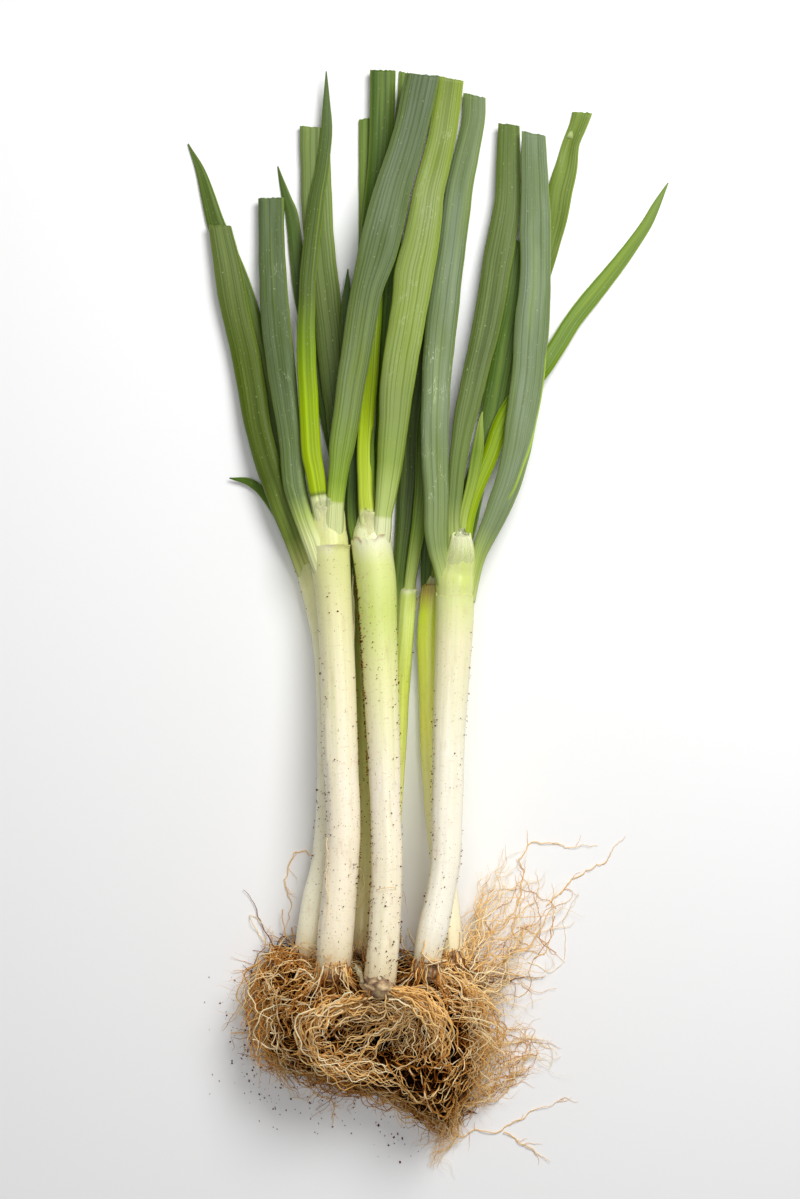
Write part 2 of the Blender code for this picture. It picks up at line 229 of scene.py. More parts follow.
def alliumLeaf(name, look):
    # a living leaf: a film of wax greys the green and softens its shine, and fine veins run along it
    made, tree, inputs = newMaterial(name, look["roughness"], 1.42)
    along, rim, lip, cut = [addNode(tree, "Attribute", attribute_name=fact, out="Fac")
                            for fact in ("along", "rim", "lip", "cut")]
    shift = look["shift"]
    colour = addNode(tree, "ValToRGB", {0: along}, stops=look["stops"])
    grown = addNode(tree, "MapRange", {0: along, 1: 0.08, 2: 0.3})
    wax = streaks(tree, 5, 45, 4.0, shift + 3)
    colour = tint(tree, colour, wax, 0.3, 0.7, look["bloom"], look["wax"], grown)
    colour = tint(tree, colour, rim, 0.8, 1.0, 0.6, look["edge"])
    colour = tint(tree, colour, lip, 0.2, 0.9, 0.9, "#a9c43c")
    veins = streaks(tree, 0.5, 180, 1.0, shift)
    colour = tint(tree, colour, veins, 0.56, 0.36, 0.6, "#b4ba96", blend="MULTIPLY")
    stripes, dots = streaks(tree, 2.2, 120, 2.0, shift + 5), streaks(tree, 0.6, 1.4, 2.0, shift + 7)
    colour = tint(tree, colour, stripes, 0.52, 0.72, 0.3, look["edge"], grown)
    colour = tint(tree, colour, dots, 0.66, 0.74, 0.5, "#b4bf8c", grown)
    if "scuff" in look:  # thin pale scratches in the wax, over one part of the leaf
        start, end, strength = look["scuff"]
        line = streaks(tree, 1.2, 9, 2.0, shift + 11)
        line = addNode(tree, "Math", {0: line, 1: 0.5, 2: 0.012}, operation="COMPARE")
        area = addNode(tree, "Math", {0: along, 1: (start + end) / 2, 2: (end - start) / 2},
                       operation="COMPARE")
        patches = streaks(tree, 4, 12, 1.0, shift + 13)
        patches = tint(tree, (0, 0, 0, 1), patches, 0.52, 0.62, 1.0, "#ffffff", area)
        colour = tint(tree, colour, line, 0.0, 1.0, strength, "#cfd6b0", patches)
    colour = tint(tree, colour, cut, 0.0, 1.0, 1.0, "#a9b878")
    inputs["Specular IOR Level"].default_value = 0.16
    inputs["Subsurface Weight"].default_value = 0.05
    inputs["Subsurface Radius"].default_value = (0.002, 0.004, 0.0008)
    return finished(made, tree, inputs, colour, veins, 0.15, 0.6)


def alliumSheath(name, look):
    # a moist, rolled leaf base: nearly white, with pale veins along it and soil rubbed into its skin
    made, tree, inputs = newMaterial(name, 0.36, 1.4)
    along, near, rim = [addNode(tree, "Attribute", attribute_name=fact, out="Fac")
                        for fact in ("along", "near", "rim")]
    shift = look["shift"]
    colour = addNode(tree, "ValToRGB", {0: along}, stops=look["stops"])
    veins = streaks(tree, 0.8, 130, 3.0, shift)
    green = addNode(tree, "MapRange", {0: along, 1: 0.3, 2: 0.7, 3: 0.3, 4: 1.0})
    colour = tint(tree, colour, veins, 0.42, 0.7, 0.5, look["vein"], green)
    wide = streaks(tree, 3.0, 60, 2.0, shift + 9)
    colour = tint(tree, colour, wide, 0.5, 0.72, 0.5, look["vein"], green)
    low = addNode(tree, "MapRange", {0: along, 1: 1.0, 2: 0.1, 3: 0.3, 4: 1.0})
    smears, creases = streaks(tree, 4, 14, 5.0, shift + 2), streaks(tree, 7, 1.4, 3.0, shift + 4)
    colour = tint(tree, colour, smears, 0.54, 0.82, look["stain"], "#b08a58", low)
    colour = tint(tree, colour, creases, 0.6, 0.72, look["stain"] * 0.5, "#c3a06c")
    specks = streaks(tree, 0.8, 1.3, 3.0, shift + 5)
    colour = tint(tree, colour, specks, 0.64, 0.69, look["specks"], "#85552a", low)
    # a torn edge dries pale, and then brown
    colour = tint(tree, colour, near, 0.0, 1.0, look["pale"], "#f4f1dc")
    colour = tint(tree, colour, rim, 0.0, 1.0, look["brown"], "#9c7746")
    inputs["Subsurface Weight"].default_value = 0.15
    inputs["Subsurface Radius"].default_value = (0.005, 0.004, 0.002)
    return finished(made, tree, inputs, colour, veins, 0.15, 0.5)


def dryRoot(name, stops):
    # each strand has its own age: fresh roots are cream, old ones tan to dark brown, all dull; deep in
    # the mat a painted shade lowers the age
    made, tree, inputs = newMaterial(name, 0.6, 1.4)
    age = addNode(tree, "Attribute", attribute_name="age", out="Fac")
    colour = addNode(tree, "ValToRGB", {0: age}, stops=stops)
    place = addNode(tree, "TexCoord", out="Object")
    dirt = addNode(tree, "TexNoise", {"Vector": place, "Scale": 260.0, "Detail": 3.0})
    colour = tint(tree, colour, dirt, 0.52, 0.72, 0.35, "#8c4e18")
    tree.links.new(colour, inputs["Base Color"])
    inputs["Specular IOR Level"].default_value = 0.1
    return made


def crumblySoil(name, stops):
    # loam: dark and dull, with paler grains
    made, tree, inputs = newMaterial(name, 0.9)
    place = addNode(tree, "TexCoord", out="Object")
    grains = addNode(tree, "TexNoise", {"Vector": place, "Scale": 700.0, "Detail": 4.0})
    tree.links.new(addNode(tree, "ValToRGB", {0: grains}, stops=stops), inputs["Base Color"])
    inputs["Specular IOR Level"].default_value = 0.0
    return made


def corkyBark(name, stops):
    # the corky plate that the roots grow from: wrinkled and dull
    made, tree, inputs = newMaterial(name, 0.8)
    place = addNode(tree, "TexCoord", out="Object")
    wrinkles = addNode(tree, "TexNoise", {"Vector": place, "Scale": 300.0, "Detail": 5.0})
    colour = addNode(tree, "ValToRGB", {0: wrinkles}, stops=stops)
    return finished(made, tree, inputs, colour, wrinkles, 0.6, 0.8)


def paperySkin(name, stops, alpha, rim):
    # a dried outer skin: thin, see-through, and crumpled along its veins
    made, tree, inputs = newMaterial(name, 0.45)
    creases = streaks(tree, 1.0, 9, 4.0, 1.5)
    colour = addNode(tree, "ValToRGB", {0: creases}, stops=stops)
    edge = addNode(tree, "Attribute", attribute_name="edge", out="Fac")
    colour = tint(tree, colour, edge, 0.0, 1.0, 0.8, rim)
    body = addNode(tree, "MapRange", {0: creases, 1: 0.35, 2: 0.7, 3: alpha * 0.3, 4: alpha * 1.3})
    solid = addNode(tree, "Math", {0: body, 1: edge}, operation="MAXIMUM")
    tree.links.new(solid, inputs["Alpha"])
    return finished(made, tree, inputs, colour, creases, 0.3, 0.7)


stems = {
    "a": {"route": [(-39.5, -143, 13.5), (-39, -133, 15), (-37.5, -115, 14.5), (-36, -98, 14),
                    (-35.5, -79, 14), (-37, -50, 14.5), (-38, -19, 14), (-39.5, 8, 14), (-41.5, 29, 16),
                    (-41.5, 34, 16), (-42, 40, 15), (-42, 46, 14), (-42, 52, 11.5)],
          "look": {"stops": [(0, "#e2cfa6"), (0.08, "#f4e7cc"), (0.4, "#f9eed8"), (0.66, "#f2e9c2"),
                             (0.8, "#e2dfa2"), (0.9, "#d5d88c"), (1, "#d9dc96")], "vein": "#dcdda6",
                   "stain": 0.5, "specks": 1.0, "pale": 0.25}},
    "b": {"route": [(-21, -151, 12.5), (-20, -143, 13.5), (-18.5, -127, 13), (-17.5, -99, 13),
                    (-18, -79, 12.5), (-18.5, -57, 13), (-19.5, -34, 13.5), (-21, 0, 14.5),
                    (-22, 19, 15.5), (-24, 35, 15.5), (-23.5, 41, 14), (-23, 45, 13), (-23, 49, 11)],
          "look": {"stops": [(0, "#dcc69a"), (0.1, "#f5e9cc"), (0.42, "#faefda"), (0.64, "#ebe8ac"),
                             (0.78, "#cbd970"), (0.88, "#d8e08c"), (0.93, "#eceec4"), (1, "#d0da8a")],
                   "vein": "#d8dd98", "stain": 0.5, "specks": 1.0, "pale": 0.25}},
    "c": {"route": [(-1, -142, 11.5), (0, -133, 12), (2, -124, 12.5), (5, -110, 12), (7, -97, 12.5),
                    (7.5, -79, 13), (8, -64, 13), (8.5, -42, 13.5), (9.5, -23, 14.5), (10.5, -4, 15.5),
                    (11, 11, 16), (11.5, 19, 16.5), (12.5, 25, 14.5), (13.5, 31, 11.5), (13.5, 38, 8)],
          "look": {"stops": [(0, "#eadcb8"), (0.1, "#fcf5e4"), (0.5, "#faf3de"), (0.74, "#f0e8c0"),
                             (0.84, "#dbe196"), (0.9, "#cbd874"), (1, "#d5de90")], "vein": "#dfdfae",
                   "stain": 0.45, "specks": 0.8, "pale": 0.4}},
    # d's colours are painted lighter than the stem's own, as painted light where stem a shades it
    "d": {"route": [(-50.5, -137, 11.5), (-47, -115, 12), (-43.5, -99, 11), (-41.5, -72, 11),
                    (-41.5, -50, 11), (-42, -27, 11), (-43.5, -8, 10.5), (-47.5, 10, 10),
                    (-52.5, 29, 9.5), (-55, 36, 7)],
          "look": {"stops": [(0, "#f0e2bc"), (0.1, "#fff8dc"), (0.6, "#fffbe0"), (0.88, "#f2f1b4"),
                             (1, "#a9b850")], "vein": "#f2f2c4", "stain": 0.3, "specks": 0.7}},
    "e": {"route": [(-28, -134, 9.5), (-27.5, -115, 9.5), (-26.5, -99, 9.5), (-27, -65, 9.5),
                    (-27.5, -31, 9.5), (-28.5, 2, 9), (-29.5, 23, 9), (-30, 28, 7)],
          "look": {"stops": [(0, "#d8c79a"), (0.15, "#dcd59c"), (0.6, "#bcbf60"), (0.85, "#98a53c"),
                             (1, "#7a8e34")], "vein": "#a9b24c", "stain": 0.5, "specks": 0.8}},
    "f": {"route": [(-15.5, -131, 7.5), (-15.5, -103, 7.5), (-15, -79, 7.5), (-13, -50, 7.5),
                    (-11.5, -23, 7.5), (-10, -4, 7), (-9, 10, 7), (-8, 18, 5.5)],
          "look": {"stops": [(0, "#e4d4a8"), (0.3, "#ecea9a"), (0.7, "#d4de66"), (0.9, "#dbe68c"),
                             (1, "#b4c45a")], "vein": "#aebd4a", "stain": 0.4, "specks": 0.7}},
    # g's colours are painted lighter than the stem's own, as painted light where stem c shades it
    "g": {"route": [(10, -139, 8.5), (8.5, -118, 9), (5.5, -99, 9.5), (3.5, -79, 10), (2.5, -64, 10),
                    (1.5, -50, 10), (1, -27, 10), (0.5, -6, 10), (1.5, 10, 9.5), (2, 17, 8.5),
                    (2, 21, 6)],
          "look": {"stops": [(0, "#f2e4bc"), (0.3, "#fffae2"), (0.6, "#fafc84"), (0.9, "#dcea48"),
                             (0.96, "#b89c56"), (1, "#7f8f34")], "vein": "#e6ee78", "stain": 0.3,
                   "specks": 0.4}},
}


stemShape = {"sides": 48, "spacing": 0.9, "flatness": 0.97, "neckFlatness": 0.6, "neckReach": 22,
             "wall": 0.55, "layers": 3, "layerStep": 0.22, "mouthDepth": 11}


def stemLook(plant):
    # shift moves the patterns, so that no two stems have the same ones
    return {"shift": 4.0 * list(stems).index(plant), "pale": 0.35, "brown": 0.1, **stems[plant]["look"]}


def flatnessAt(distanceFromNeck, neckFlatness):
    # round along its length, and flatter where the leaves part
    return np.interp(distanceFromNeck, [0, stemShape["neckReach"]], [neckFlatness, stemShape["flatness"]])


def stemStations(plant, spacing=1.6):
    # x, y, height of the middle and width, along one stem
    stations, distance = smoothPath(stems[plant]["route"], spacing)
    heights = middleHeights(f"{plant}_stem", stations[:, :2])
    known = ~np.isnan(heights)
    heights = np.interp(distance, distance[known], heights[known])
    return np.column_stack([stations[:, :2], smoothed(heights, 60), stations[:, 2]]), distance


def makeStem(plant):
    shape = stemShape
    rng = np.random.default_rng(ord(plant))
    stations, distance = stemStations(plant, shape["spacing"])
    centres, width = stations[:, :3], stations[:, 3]
    ahead, across, up = framesAlong(centres)
    angle = turnOf(shape["sides"])
    radius = width[:, None] / 2 * np.ones(shape["sides"])
    for _ in range(shape["layers"]):  # the side edge of an outer leaf base shows as a low step along it
        edge = rng.uniform(0.15, 0.85) * math.pi + wander(rng, distance, 160, 0.16)
        gap = (angle[None, :] - edge[:, None]) % (2 * math.pi)
        radius += shape["layerStep"] * bell(gap, 0, 0.5)
    radius *= 1 + 0.012 * wander(rng, distance, 30, 1)[:, None]
    share = distance / distance[-1]
    flat = flatnessAt(distance[-1] - distance, shape["neckFlatness"])[:, None]
    rings = ringsRound(centres, across, up, radius * np.cos(angle), radius * flat * np.sin(angle))
    # the mouth that the leaves grow out of: an uneven thin edge, then the inside of the sheath
    reach = crumple(rng, angle, 0, 4) * 0.6 - 0.8 * np.sin(angle)
    rings += ahead[:, None] * (ramp(share, 0.93, 1)[:, None] ** 2 * reach)[..., None]
    back = np.arange(len(rings) - 1, len(rings) - 1 - shape["mouthDepth"], -1)
    shrink = 1 - 2 * shape["wall"] / width[back]
    inner = centres[back][:, None] + (rings[back] - centres[back][:, None]) * shrink[:, None, None]
    near, rim = ramp(share, 0.96, 1), ramp(share, 0.995, 1)
    facts = {"along": np.concatenate([share, share[back]]), "near": np.concatenate([near, near[back]]),
             "rim": np.concatenate([rim, rim[back] * 0])}
    inward = distance[-1] + shape["spacing"] * np.arange(1, len(back) + 1)
    mesh = loftMesh(f"{plant}_stem_sheaths", np.concatenate([rings, inner]),
                    np.concatenate([distance, inward]), facts)
    sheath = alliumSheath(f"moistSheath_{plant}", stemLook(plant))
    addPiece(f"{plant}_stem_sheaths", mesh, sheath, [f"{plant}_stem"])


# the outermost leaf base of a stem ends in a torn edge: how ragged that is, how much paler and how brown
outerSheaths = {
    "a": {"y": (-60, 33.5), "lift": 0.6, "ragged": 0.7, "brown": 0.3, "pale": 0.5, "curl": 0.9},
    "b": {"y": (-70, 37), "lift": 0.7, "ragged": 2.4, "brown": 0.7, "pale": 0.3, "curl": 0.5},
    "c": {"y": (-60, 12), "lift": 0.25, "ragged": 2.2, "brown": 0.1, "pale": 0.1, "curl": 0.1},
    "f": {"y": (-30, 15), "lift": 0.5, "ragged": 1.0, "brown": 0.2, "pale": 0.6, "curl": 0.5},
    "g": {"y": (-30, 17), "lift": 0.45, "ragged": 1.2, "brown": 1.0, "pale": 0.0, "curl": 0.2},
}


def makeOuterSheath(plant, spec):
    rng = np.random.default_rng(60 + ord(plant))
    stations, distance = stemStations(plant, 0.8)
    low, torn = spec["y"]
    sides, count = 96, 70
    angle = turnOf(sides)
    ragged = sum(rng.normal() * np.sin(k * angle + rng.uniform(0, 6)) / k ** 0.8 for k in range(1, 24))
    top = torn + spec["ragged"] * 0.5 * ragged
    share = 1 - (1 - np.linspace(0, 1, count)[:, None]) ** 1.6  # closer together near the torn edge
    y = low + (top - low) * share
    x, z, width, along = [np.interp(y, stations[:, 1], values)
                          for values in (*stations.T[[0, 2, 3]], distance / distance[-1])]
    rolled = ramp(share, 0.97, 1) ** 2 * spec["curl"] * (0.6 + 0.5 * np.sin(2 * angle - 2.6))
    outside = width / 2 + rolled + spec["lift"] * share ** 0.5
    inside = width / 2 + rolled - 0.15
    high = stemShape["flatness"] * np.sin(angle)
    outer, inner = [np.stack([x - radius * np.cos(angle), y, z + radius * high], axis=2)
                    for radius in (outside, inside)]
    edge = ramp(share, 0.98, 1) * np.clip(0.6 + 0.6 * crumple(rng, angle, 0, 6), 0.1, 1)
    near = ramp(share, 0.88, 1) ** 2 * np.clip(0.5 + 0.9 * crumple(rng, angle, share * 3, 4), 0, 1)
    look = stemLook(plant)
    look = {**look, "shift": look["shift"] + 1.3, "brown": spec["brown"], "pale": spec["pale"]}
    mesh = loftMesh(f"{plant}_outer_sheath", np.concatenate([outer, inner[::-1]]),
                    np.linspace(0, 2 * (torn - low), 2 * count),
                    {key: np.concatenate([values, values[::-1]])
                     for key, values in (("along", along), ("rim", edge), ("near", near))}, False, False)
    addPiece(f"{plant}_outer_sheath", mesh, alliumSheath(f"tornSheath_{plant}", look))


# what most of the leaves share
freshLook = {"wax": "#7d8b5a", "edge": "#8aa040", "bloom": 0.3, "roughness": 0.42}
# route is x, y and width; lift is how far the base stands proud of the stem; dents are
# place along, place across and depth; slit is where a fold starts and ends
leaves = {
    "d_leaf_curled": {
        "route": [(-52.5, 24, 5), (-58, 37, 5), (-68, 53, 4), (-75, 60, 3.5), (-84, 62, 0.5)],
        "look": {"stops": [(0, "#b9c56a"), (0.3, "#5f7c14"), (1, "#44660c")], "bloom": 0.1}},
    "d_leaf_pointed": {
        "route": [(-51, 22, 6), (-55, 36, 7), (-62.5, 73, 8), (-70, 106, 8), (-76, 132, 9),
                  (-82.5, 151, 9), (-90, 170, 7.5), (-95.5, 190, 4.5), (-101.5, 203.5, 0.5)],
        "look": {"stops": [(0, "#c5cc82"), (0.1, "#566e1c"), (0.6, "#465c14"), (1, "#566e20")]}},
    "d_leaf_cut": {
        "route": [(-50, 18, 8), (-52.5, 26, 9), (-55, 32.5, 9), (-62.5, 52.5, 10), (-70.5, 78, 11),
                  (-75.5, 106, 12), (-81.5, 132, 12), (-84, 147, 12), (-88, 168.5, 9.5)],
        "look": {"stops": [(0, "#dcdc9c"), (0.06, "#c9cf7c"), (0.13, "#7d9038"), (0.3, "#4b5c12"),
                           (0.6, "#506212"), (1, "#66763a")], "bloom": 0.12}},
    "e_leaf_narrow": {
        "route": [(-29, 16, 4.5), (-29, 27, 4.5), (-28, 95, 6), (-26.5, 160, 6.5), (-26, 214, 6.5)],
        "look": {"stops": [(0, "#9aab58"), (0.3, "#748c30"), (1, "#6a8238")], "bloom": 0.2}},
    "e_leaf_pointed": {
        "route": [(-30, 16, 5), (-31, 27, 5), (-41, 82, 7), (-53, 136.5, 7), (-55.5, 153, 6),
                  (-57.5, 172, 5.5), (-60, 180.5, 4), (-63.5, 194, 0.5)],
        "look": {"stops": [(0, "#7f9440"), (0.3, "#445c1c"), (1, "#4e642a")]}},
    "e_leaf_broad": {
        "route": [(-29.5, 14, 7), (-30, 28, 7), (-33, 44, 8), (-37, 78, 9.5), (-41, 115.5, 12),
                  (-43.5, 136.5, 12.5), (-46.5, 168.5, 13), (-47.5, 191, 13), (-48, 210, 13)],
        "look": {"stops": [(0, "#8fa04c"), (0.25, "#56692c"), (0.6, "#5f6f36"), (0.8, "#7b8d50"),
                           (1, "#7b8d54")], "bloom": 0.2}},
    "g_leaf_crumpled": {
        "route": [(1.5, 10, 6), (2, 20, 6), (6, 36, 6), (15.5, 52.5, 7), (28, 86, 8), (38.5, 117.5, 8),
                  (47.5, 147, 8), (51, 159, 8.5), (54, 172, 9.5), (55.5, 182.5, 10.5), (58, 193, 9.5),
                  (60, 203, 7.5), (63, 210.5, 7.5), (65, 216.5, 8.5)],
        "look": {"stops": [(0, "#96a64c"), (0.3, "#4f6620"), (0.7, "#6e822e"), (1, "#7b8f40")],
                 "bloom": 0.2},
        "dents": [(0.77, -0.2, 1.6), (0.93, 0.3, 1.8)]},
    "g_leaf_short": {
        "route": [(-0.5, 10, 4.5), (-1, 20, 4.5), (0, 36, 5), (2, 58, 4.5), (3, 84, 0.5)],
        "look": {"stops": [(0, "#5f7a2c"), (0.3, "#2f4a16"), (1, "#3a5620")]}},
    "f_leaf_broad": {
        "route": [(-12.5, -4, 4), (-12.5, 8, 5), (-12, 22, 6), (-10, 41, 8), (-8, 65, 10), (-6, 94.5, 11),
                  (-2, 124, 11), (4, 153.5, 11), (8, 182.5, 10)],
        "look": {"stops": [(0, "#a9b560"), (0.12, "#5a7028"), (0.3, "#3f5220"), (1, "#4c5c28")],
                 "bloom": 0.3}},
    "c_leaf_back": {
        "route": [(13.5, 16, 5), (14.5, 25, 5), (15, 32, 5), (17.5, 44, 6.5), (22.5, 69, 8), (27, 90, 10),
                  (31.5, 115.5, 10.5), (36, 136.5, 10), (39.5, 161.5, 9)],
        "look": {"stops": [(0, "#8ea53a"), (0.2, "#476414"), (1, "#506c24")]}},
    "c_leaf_long_pointed": {
        "route": [(14, 18, 6), (15, 30, 6), (15.5, 40, 6), (18.5, 53, 6.5), (25.5, 70, 7),
                  (31.5, 86, 7.5), (38.5, 97.5, 7.5), (47, 107, 7.5), (54, 117, 7.5), (60.5, 127.5, 7.5),
                  (68.5, 138, 7.5), (79.5, 151.5, 6.5), (90.5, 167, 5), (96, 177, 3.5),
                  (101.5, 187, 0.5)],
        "look": {"stops": [(0, "#c5cf5a"), (0.1, "#94ac00"), (0.36, "#7e9a00"), (0.46, "#6a8816"),
                           (0.6, "#74903a"), (1, "#748c44")], "bloom": 0.05, "roughness": 0.36,
                 "edge": "#a8bf3c"}},
    "f_leaf_narrow": {
        "route": [(-8.5, 10, 5), (-7.5, 20, 5), (-4.5, 40, 6), (-2.5, 61, 6.5), (-1.5, 86, 6),
                  (0.5, 124, 0.5)],
        "look": {"stops": [(0, "#c3cf7e"), (0.25, "#86a03a"), (0.6, "#46601c"), (1, "#3a561c")],
                 "bloom": 0.2}},
    "b_leaf_short_pointed": {
        "route": [(-27, 28, 4), (-30.5, 38, 5), (-32, 50, 5), (-31.5, 76.5, 5.5), (-33, 94.5, 5.5),
                  (-34.5, 122, 5), (-34.5, 136.5, 4), (-34, 150, 0.5)],
        "look": {"stops": [(0, "#7f9440"), (0.25, "#3a561a"), (1, "#425e24")], "bloom": 0.25}},
    "b_leaf_ragged": {
        "route": [(-22.5, 36, 4.5), (-22.5, 51, 4.5), (-20, 82, 5), (-17.5, 124, 6), (-15, 153.5, 6.5),
                  (-13, 182.5, 6.5), (-11, 212, 6.5), (-10, 233.5, 5)],
        "look": {"stops": [(0, "#8aa22c"), (0.25, "#557618"), (0.6, "#52721e"), (1, "#6e8640")],
                 "bloom": 0.2}},
    "b_leaf_two_tone": {
        "route": [(-25, 34, 7), (-25.5, 42, 7), (-26, 50, 7), (-26.5, 57, 6.5), (-26.5, 77.5, 7),
                  (-25, 107, 7.5), (-23.5, 136, 8.5), (-24, 161, 9.5), (-21, 189.5, 10.5),
                  (-19.5, 215.5, 10.5), (-19, 234, 11)],
        "look": {"stops": [(0, "#e0e6aa"), (0.064, "#dae29a"), (0.075, "#bccc48"), (0.28, "#a8c208"),
                           (0.5, "#7f9a10"), (0.66, "#4e6a1a"), (1, "#486026")], "bloom": 0.1,
                 "roughness": 0.38},
        "lift": 3.0},
    "c_leaf_hooked": {
        "route": [(14, 34, 4), (14.5, 44, 4), (18.5, 61, 4.5), (20.5, 73.5, 5), (21.5, 84, 2.5),
                  (22.5, 89.5, 0.5)],
        "look": {"stops": [(0, "#c5d07a"), (0.3, "#a3b84a"), (0.7, "#76922c"), (1, "#9fb058")],
                 "bloom": 0.1}},
    "c_leaf_grey_green": {
        "route": [(10.5, 14, 6), (10.5, 26, 6), (10.5, 36, 6), (10.5, 48.5, 6), (13, 73.5, 8),
                  (16.5, 93, 10), (23.5, 121.5, 11.5), (26.5, 137, 12), (30, 158, 12.5), (33, 179, 11),
                  (34, 211, 9)],
        "look": {"stops": [(0, "#d3da9c"), (0.08, "#aebd68"), (0.2, "#74874a"), (0.5, "#5c6c36"),
                           (1, "#5c6f34")], "bloom": 0.35},
        "lift": 1.0},
    "c_leaf_blue_left": {
        "route": [(9, 8, 8), (7, 18, 7.5), (5.5, 25, 7.5), (4, 31, 8.5), (3, 40, 10), (3, 48.5, 10.5),
                  (2.5, 77.5, 11.5), (3, 95.5, 12), (4.5, 116.5, 13), (6.5, 137, 13), (10, 162, 12),
                  (13, 183, 11.5), (18.5, 210, 10), (19.5, 223.5, 9.5)],
        "look": {"stops": [(0, "#d3da9c"), (0.06, "#b4c474"), (0.12, "#86985a"), (0.35, "#76875a"),
                           (0.7, "#66784a"), (1, "#6a7c48")], "bloom": 0.45, "wax": "#8e9c88",
                 "scuff": (0.2, 0.5, 0.5)},
        "lift": 2.2,
        "dents": [(0.3, 0.1, 0.8)]},
    "c_leaf_slit": {
        "route": [(16.5, 10, 6), (19, 20, 5), (21, 29, 6), (23.5, 36, 8), (29, 48.5, 10),
                  (33.5, 60.5, 11), (36.5, 72, 12), (39, 85.5, 13), (41.5, 102.5, 14), (43.5, 128, 14.5),
                  (45, 149, 13), (45, 168.5, 13), (44.5, 189.5, 11.5), (44, 206.5, 10)],
        "look": {"stops": [(0, "#cfd88e"), (0.08, "#a9bb62"), (0.16, "#7b8c5c"), (0.5, "#728458"),
                           (1, "#697c50")], "bloom": 0.5, "wax": "#8f9d8a", "edge": "#9db45c"},
        "lift": 2.0, "slit": (0.21, -0.25, 0.38, -0.85, 1.2)},
    "a_leaf_blue": {
        "route": [(-44, 20, 7), (-48, 33, 8), (-51, 41, 8), (-53, 47, 8.5), (-55.5, 56, 9.5),
                  (-57, 66, 10), (-58, 77.5, 10), (-62.5, 111, 12), (-64.5, 132, 12.5),
                  (-65.5, 147.5, 11.5), (-66.5, 180, 11)],
        "look": {"stops": [(0, "#e3e6b4"), (0.1, "#d6dc9c"), (0.16, "#a9ba62"), (0.22, "#6f8344"),
                           (0.5, "#566838"), (1, "#556638")], "bloom": 0.4, "wax": "#76866e",
                 "scuff": (0.2, 0.9, 0.2)},
        "lift": 4.5},
    "a_leaf_pointed": {
        "route": [(-43, 38, 8), (-44.5, 47, 8), (-46, 54.5, 7.5), (-47.5, 64, 8), (-49.5, 77.5, 8.5),
                  (-51.5, 116, 8), (-51, 136.5, 7), (-50, 153, 7), (-47.5, 175.5, 7), (-44.5, 195, 5.5),
                  (-43, 212, 4.5), (-43, 233.5, 0.5)],
        "look": {"stops": [(0, "#e3e6b4"), (0.08, "#dfe4a8"), (0.086, "#74862e"), (0.094, "#a8c010"),
                           (0.28, "#9dba00"), (0.4, "#7a9612"), (0.52, "#56682c"), (1, "#566a3a")],
                 "bloom": 0.1, "roughness": 0.38, "edge": "#93ab30"},
        "lift": 2.5},
    "b_leaf_tiny": {
        "route": [(-23.5, 44, 2), (-23.5, 53, 2), (-23.5, 68, 2), (-23, 83, 0.5)],
        "look": {"stops": [(0, "#c9d488"), (0.4, "#76922c"), (1, "#52701e")], "bloom": 0.1}},
    "b_leaf_wide": {
        "route": [(-20.5, 32, 8), (-19.5, 40, 8), (-19, 46, 7.5), (-18, 53, 8.5), (-16.5, 65, 10.5),
                  (-15.5, 77.5, 12), (-12.5, 106, 14.5), (-8, 132, 15.5), (-6, 147.5, 16.5),
                  (-2.5, 164, 15), (0, 182.5, 13.5), (5, 202.5, 12), (9.5, 230, 11.5)],
        "look": {"stops": [(0, "#e6eab8"), (0.064, "#e0e6b0"), (0.07, "#bccc78"), (0.18, "#8fa44a"),
                           (0.4, "#889a48"), (1, "#84963a")], "bloom": 0.3, "wax": "#93a17c",
                 "edge": "#9db43c", "scuff": (0.3, 0.95, 0.25)},
        "lift": 4.0,
        "dents": [(0.42, 0.3, 0.7), (0.8, -0.2, 0.7)]},
    "a_leaf_large": {
        "route": [(-40, 34, 8), (-39.5, 42, 8), (-39, 52, 7.5), (-37.5, 66, 8.5), (-36, 77.5, 11),
                  (-30, 115.5, 12.5), (-26, 139, 13.5), (-20.5, 160, 16.5), (-14.5, 184.5, 15),
                  (-8, 205, 14), (-2.5, 230.5, 14.5)],
        "look": {"stops": [(0, "#e0e6aa"), (0.084, "#d8e09c"), (0.09, "#a8c04c"), (0.13, "#86a22e"),
                           (0.3, "#7a8c40"), (0.6, "#5e6f3e"), (1, "#54643e")], "bloom": 0.35,
                 "wax": "#7d8c78", "edge": "#84994a"},
        "lift": 4.0,
        "dents": [(0.62, 0.15, 0.9)]},
}


leafShape = {"sides": 40, "spacing": 1.5, "wall": 0.75, "hollowStations": 9, "trough": 0.18, "ribs": 17,
             "ribHeight": 0.008, "roll": 0.16, "thickness": ([0, 0.12, 0.5, 1], [0.85, 0.7, 0.44, 0.36])}


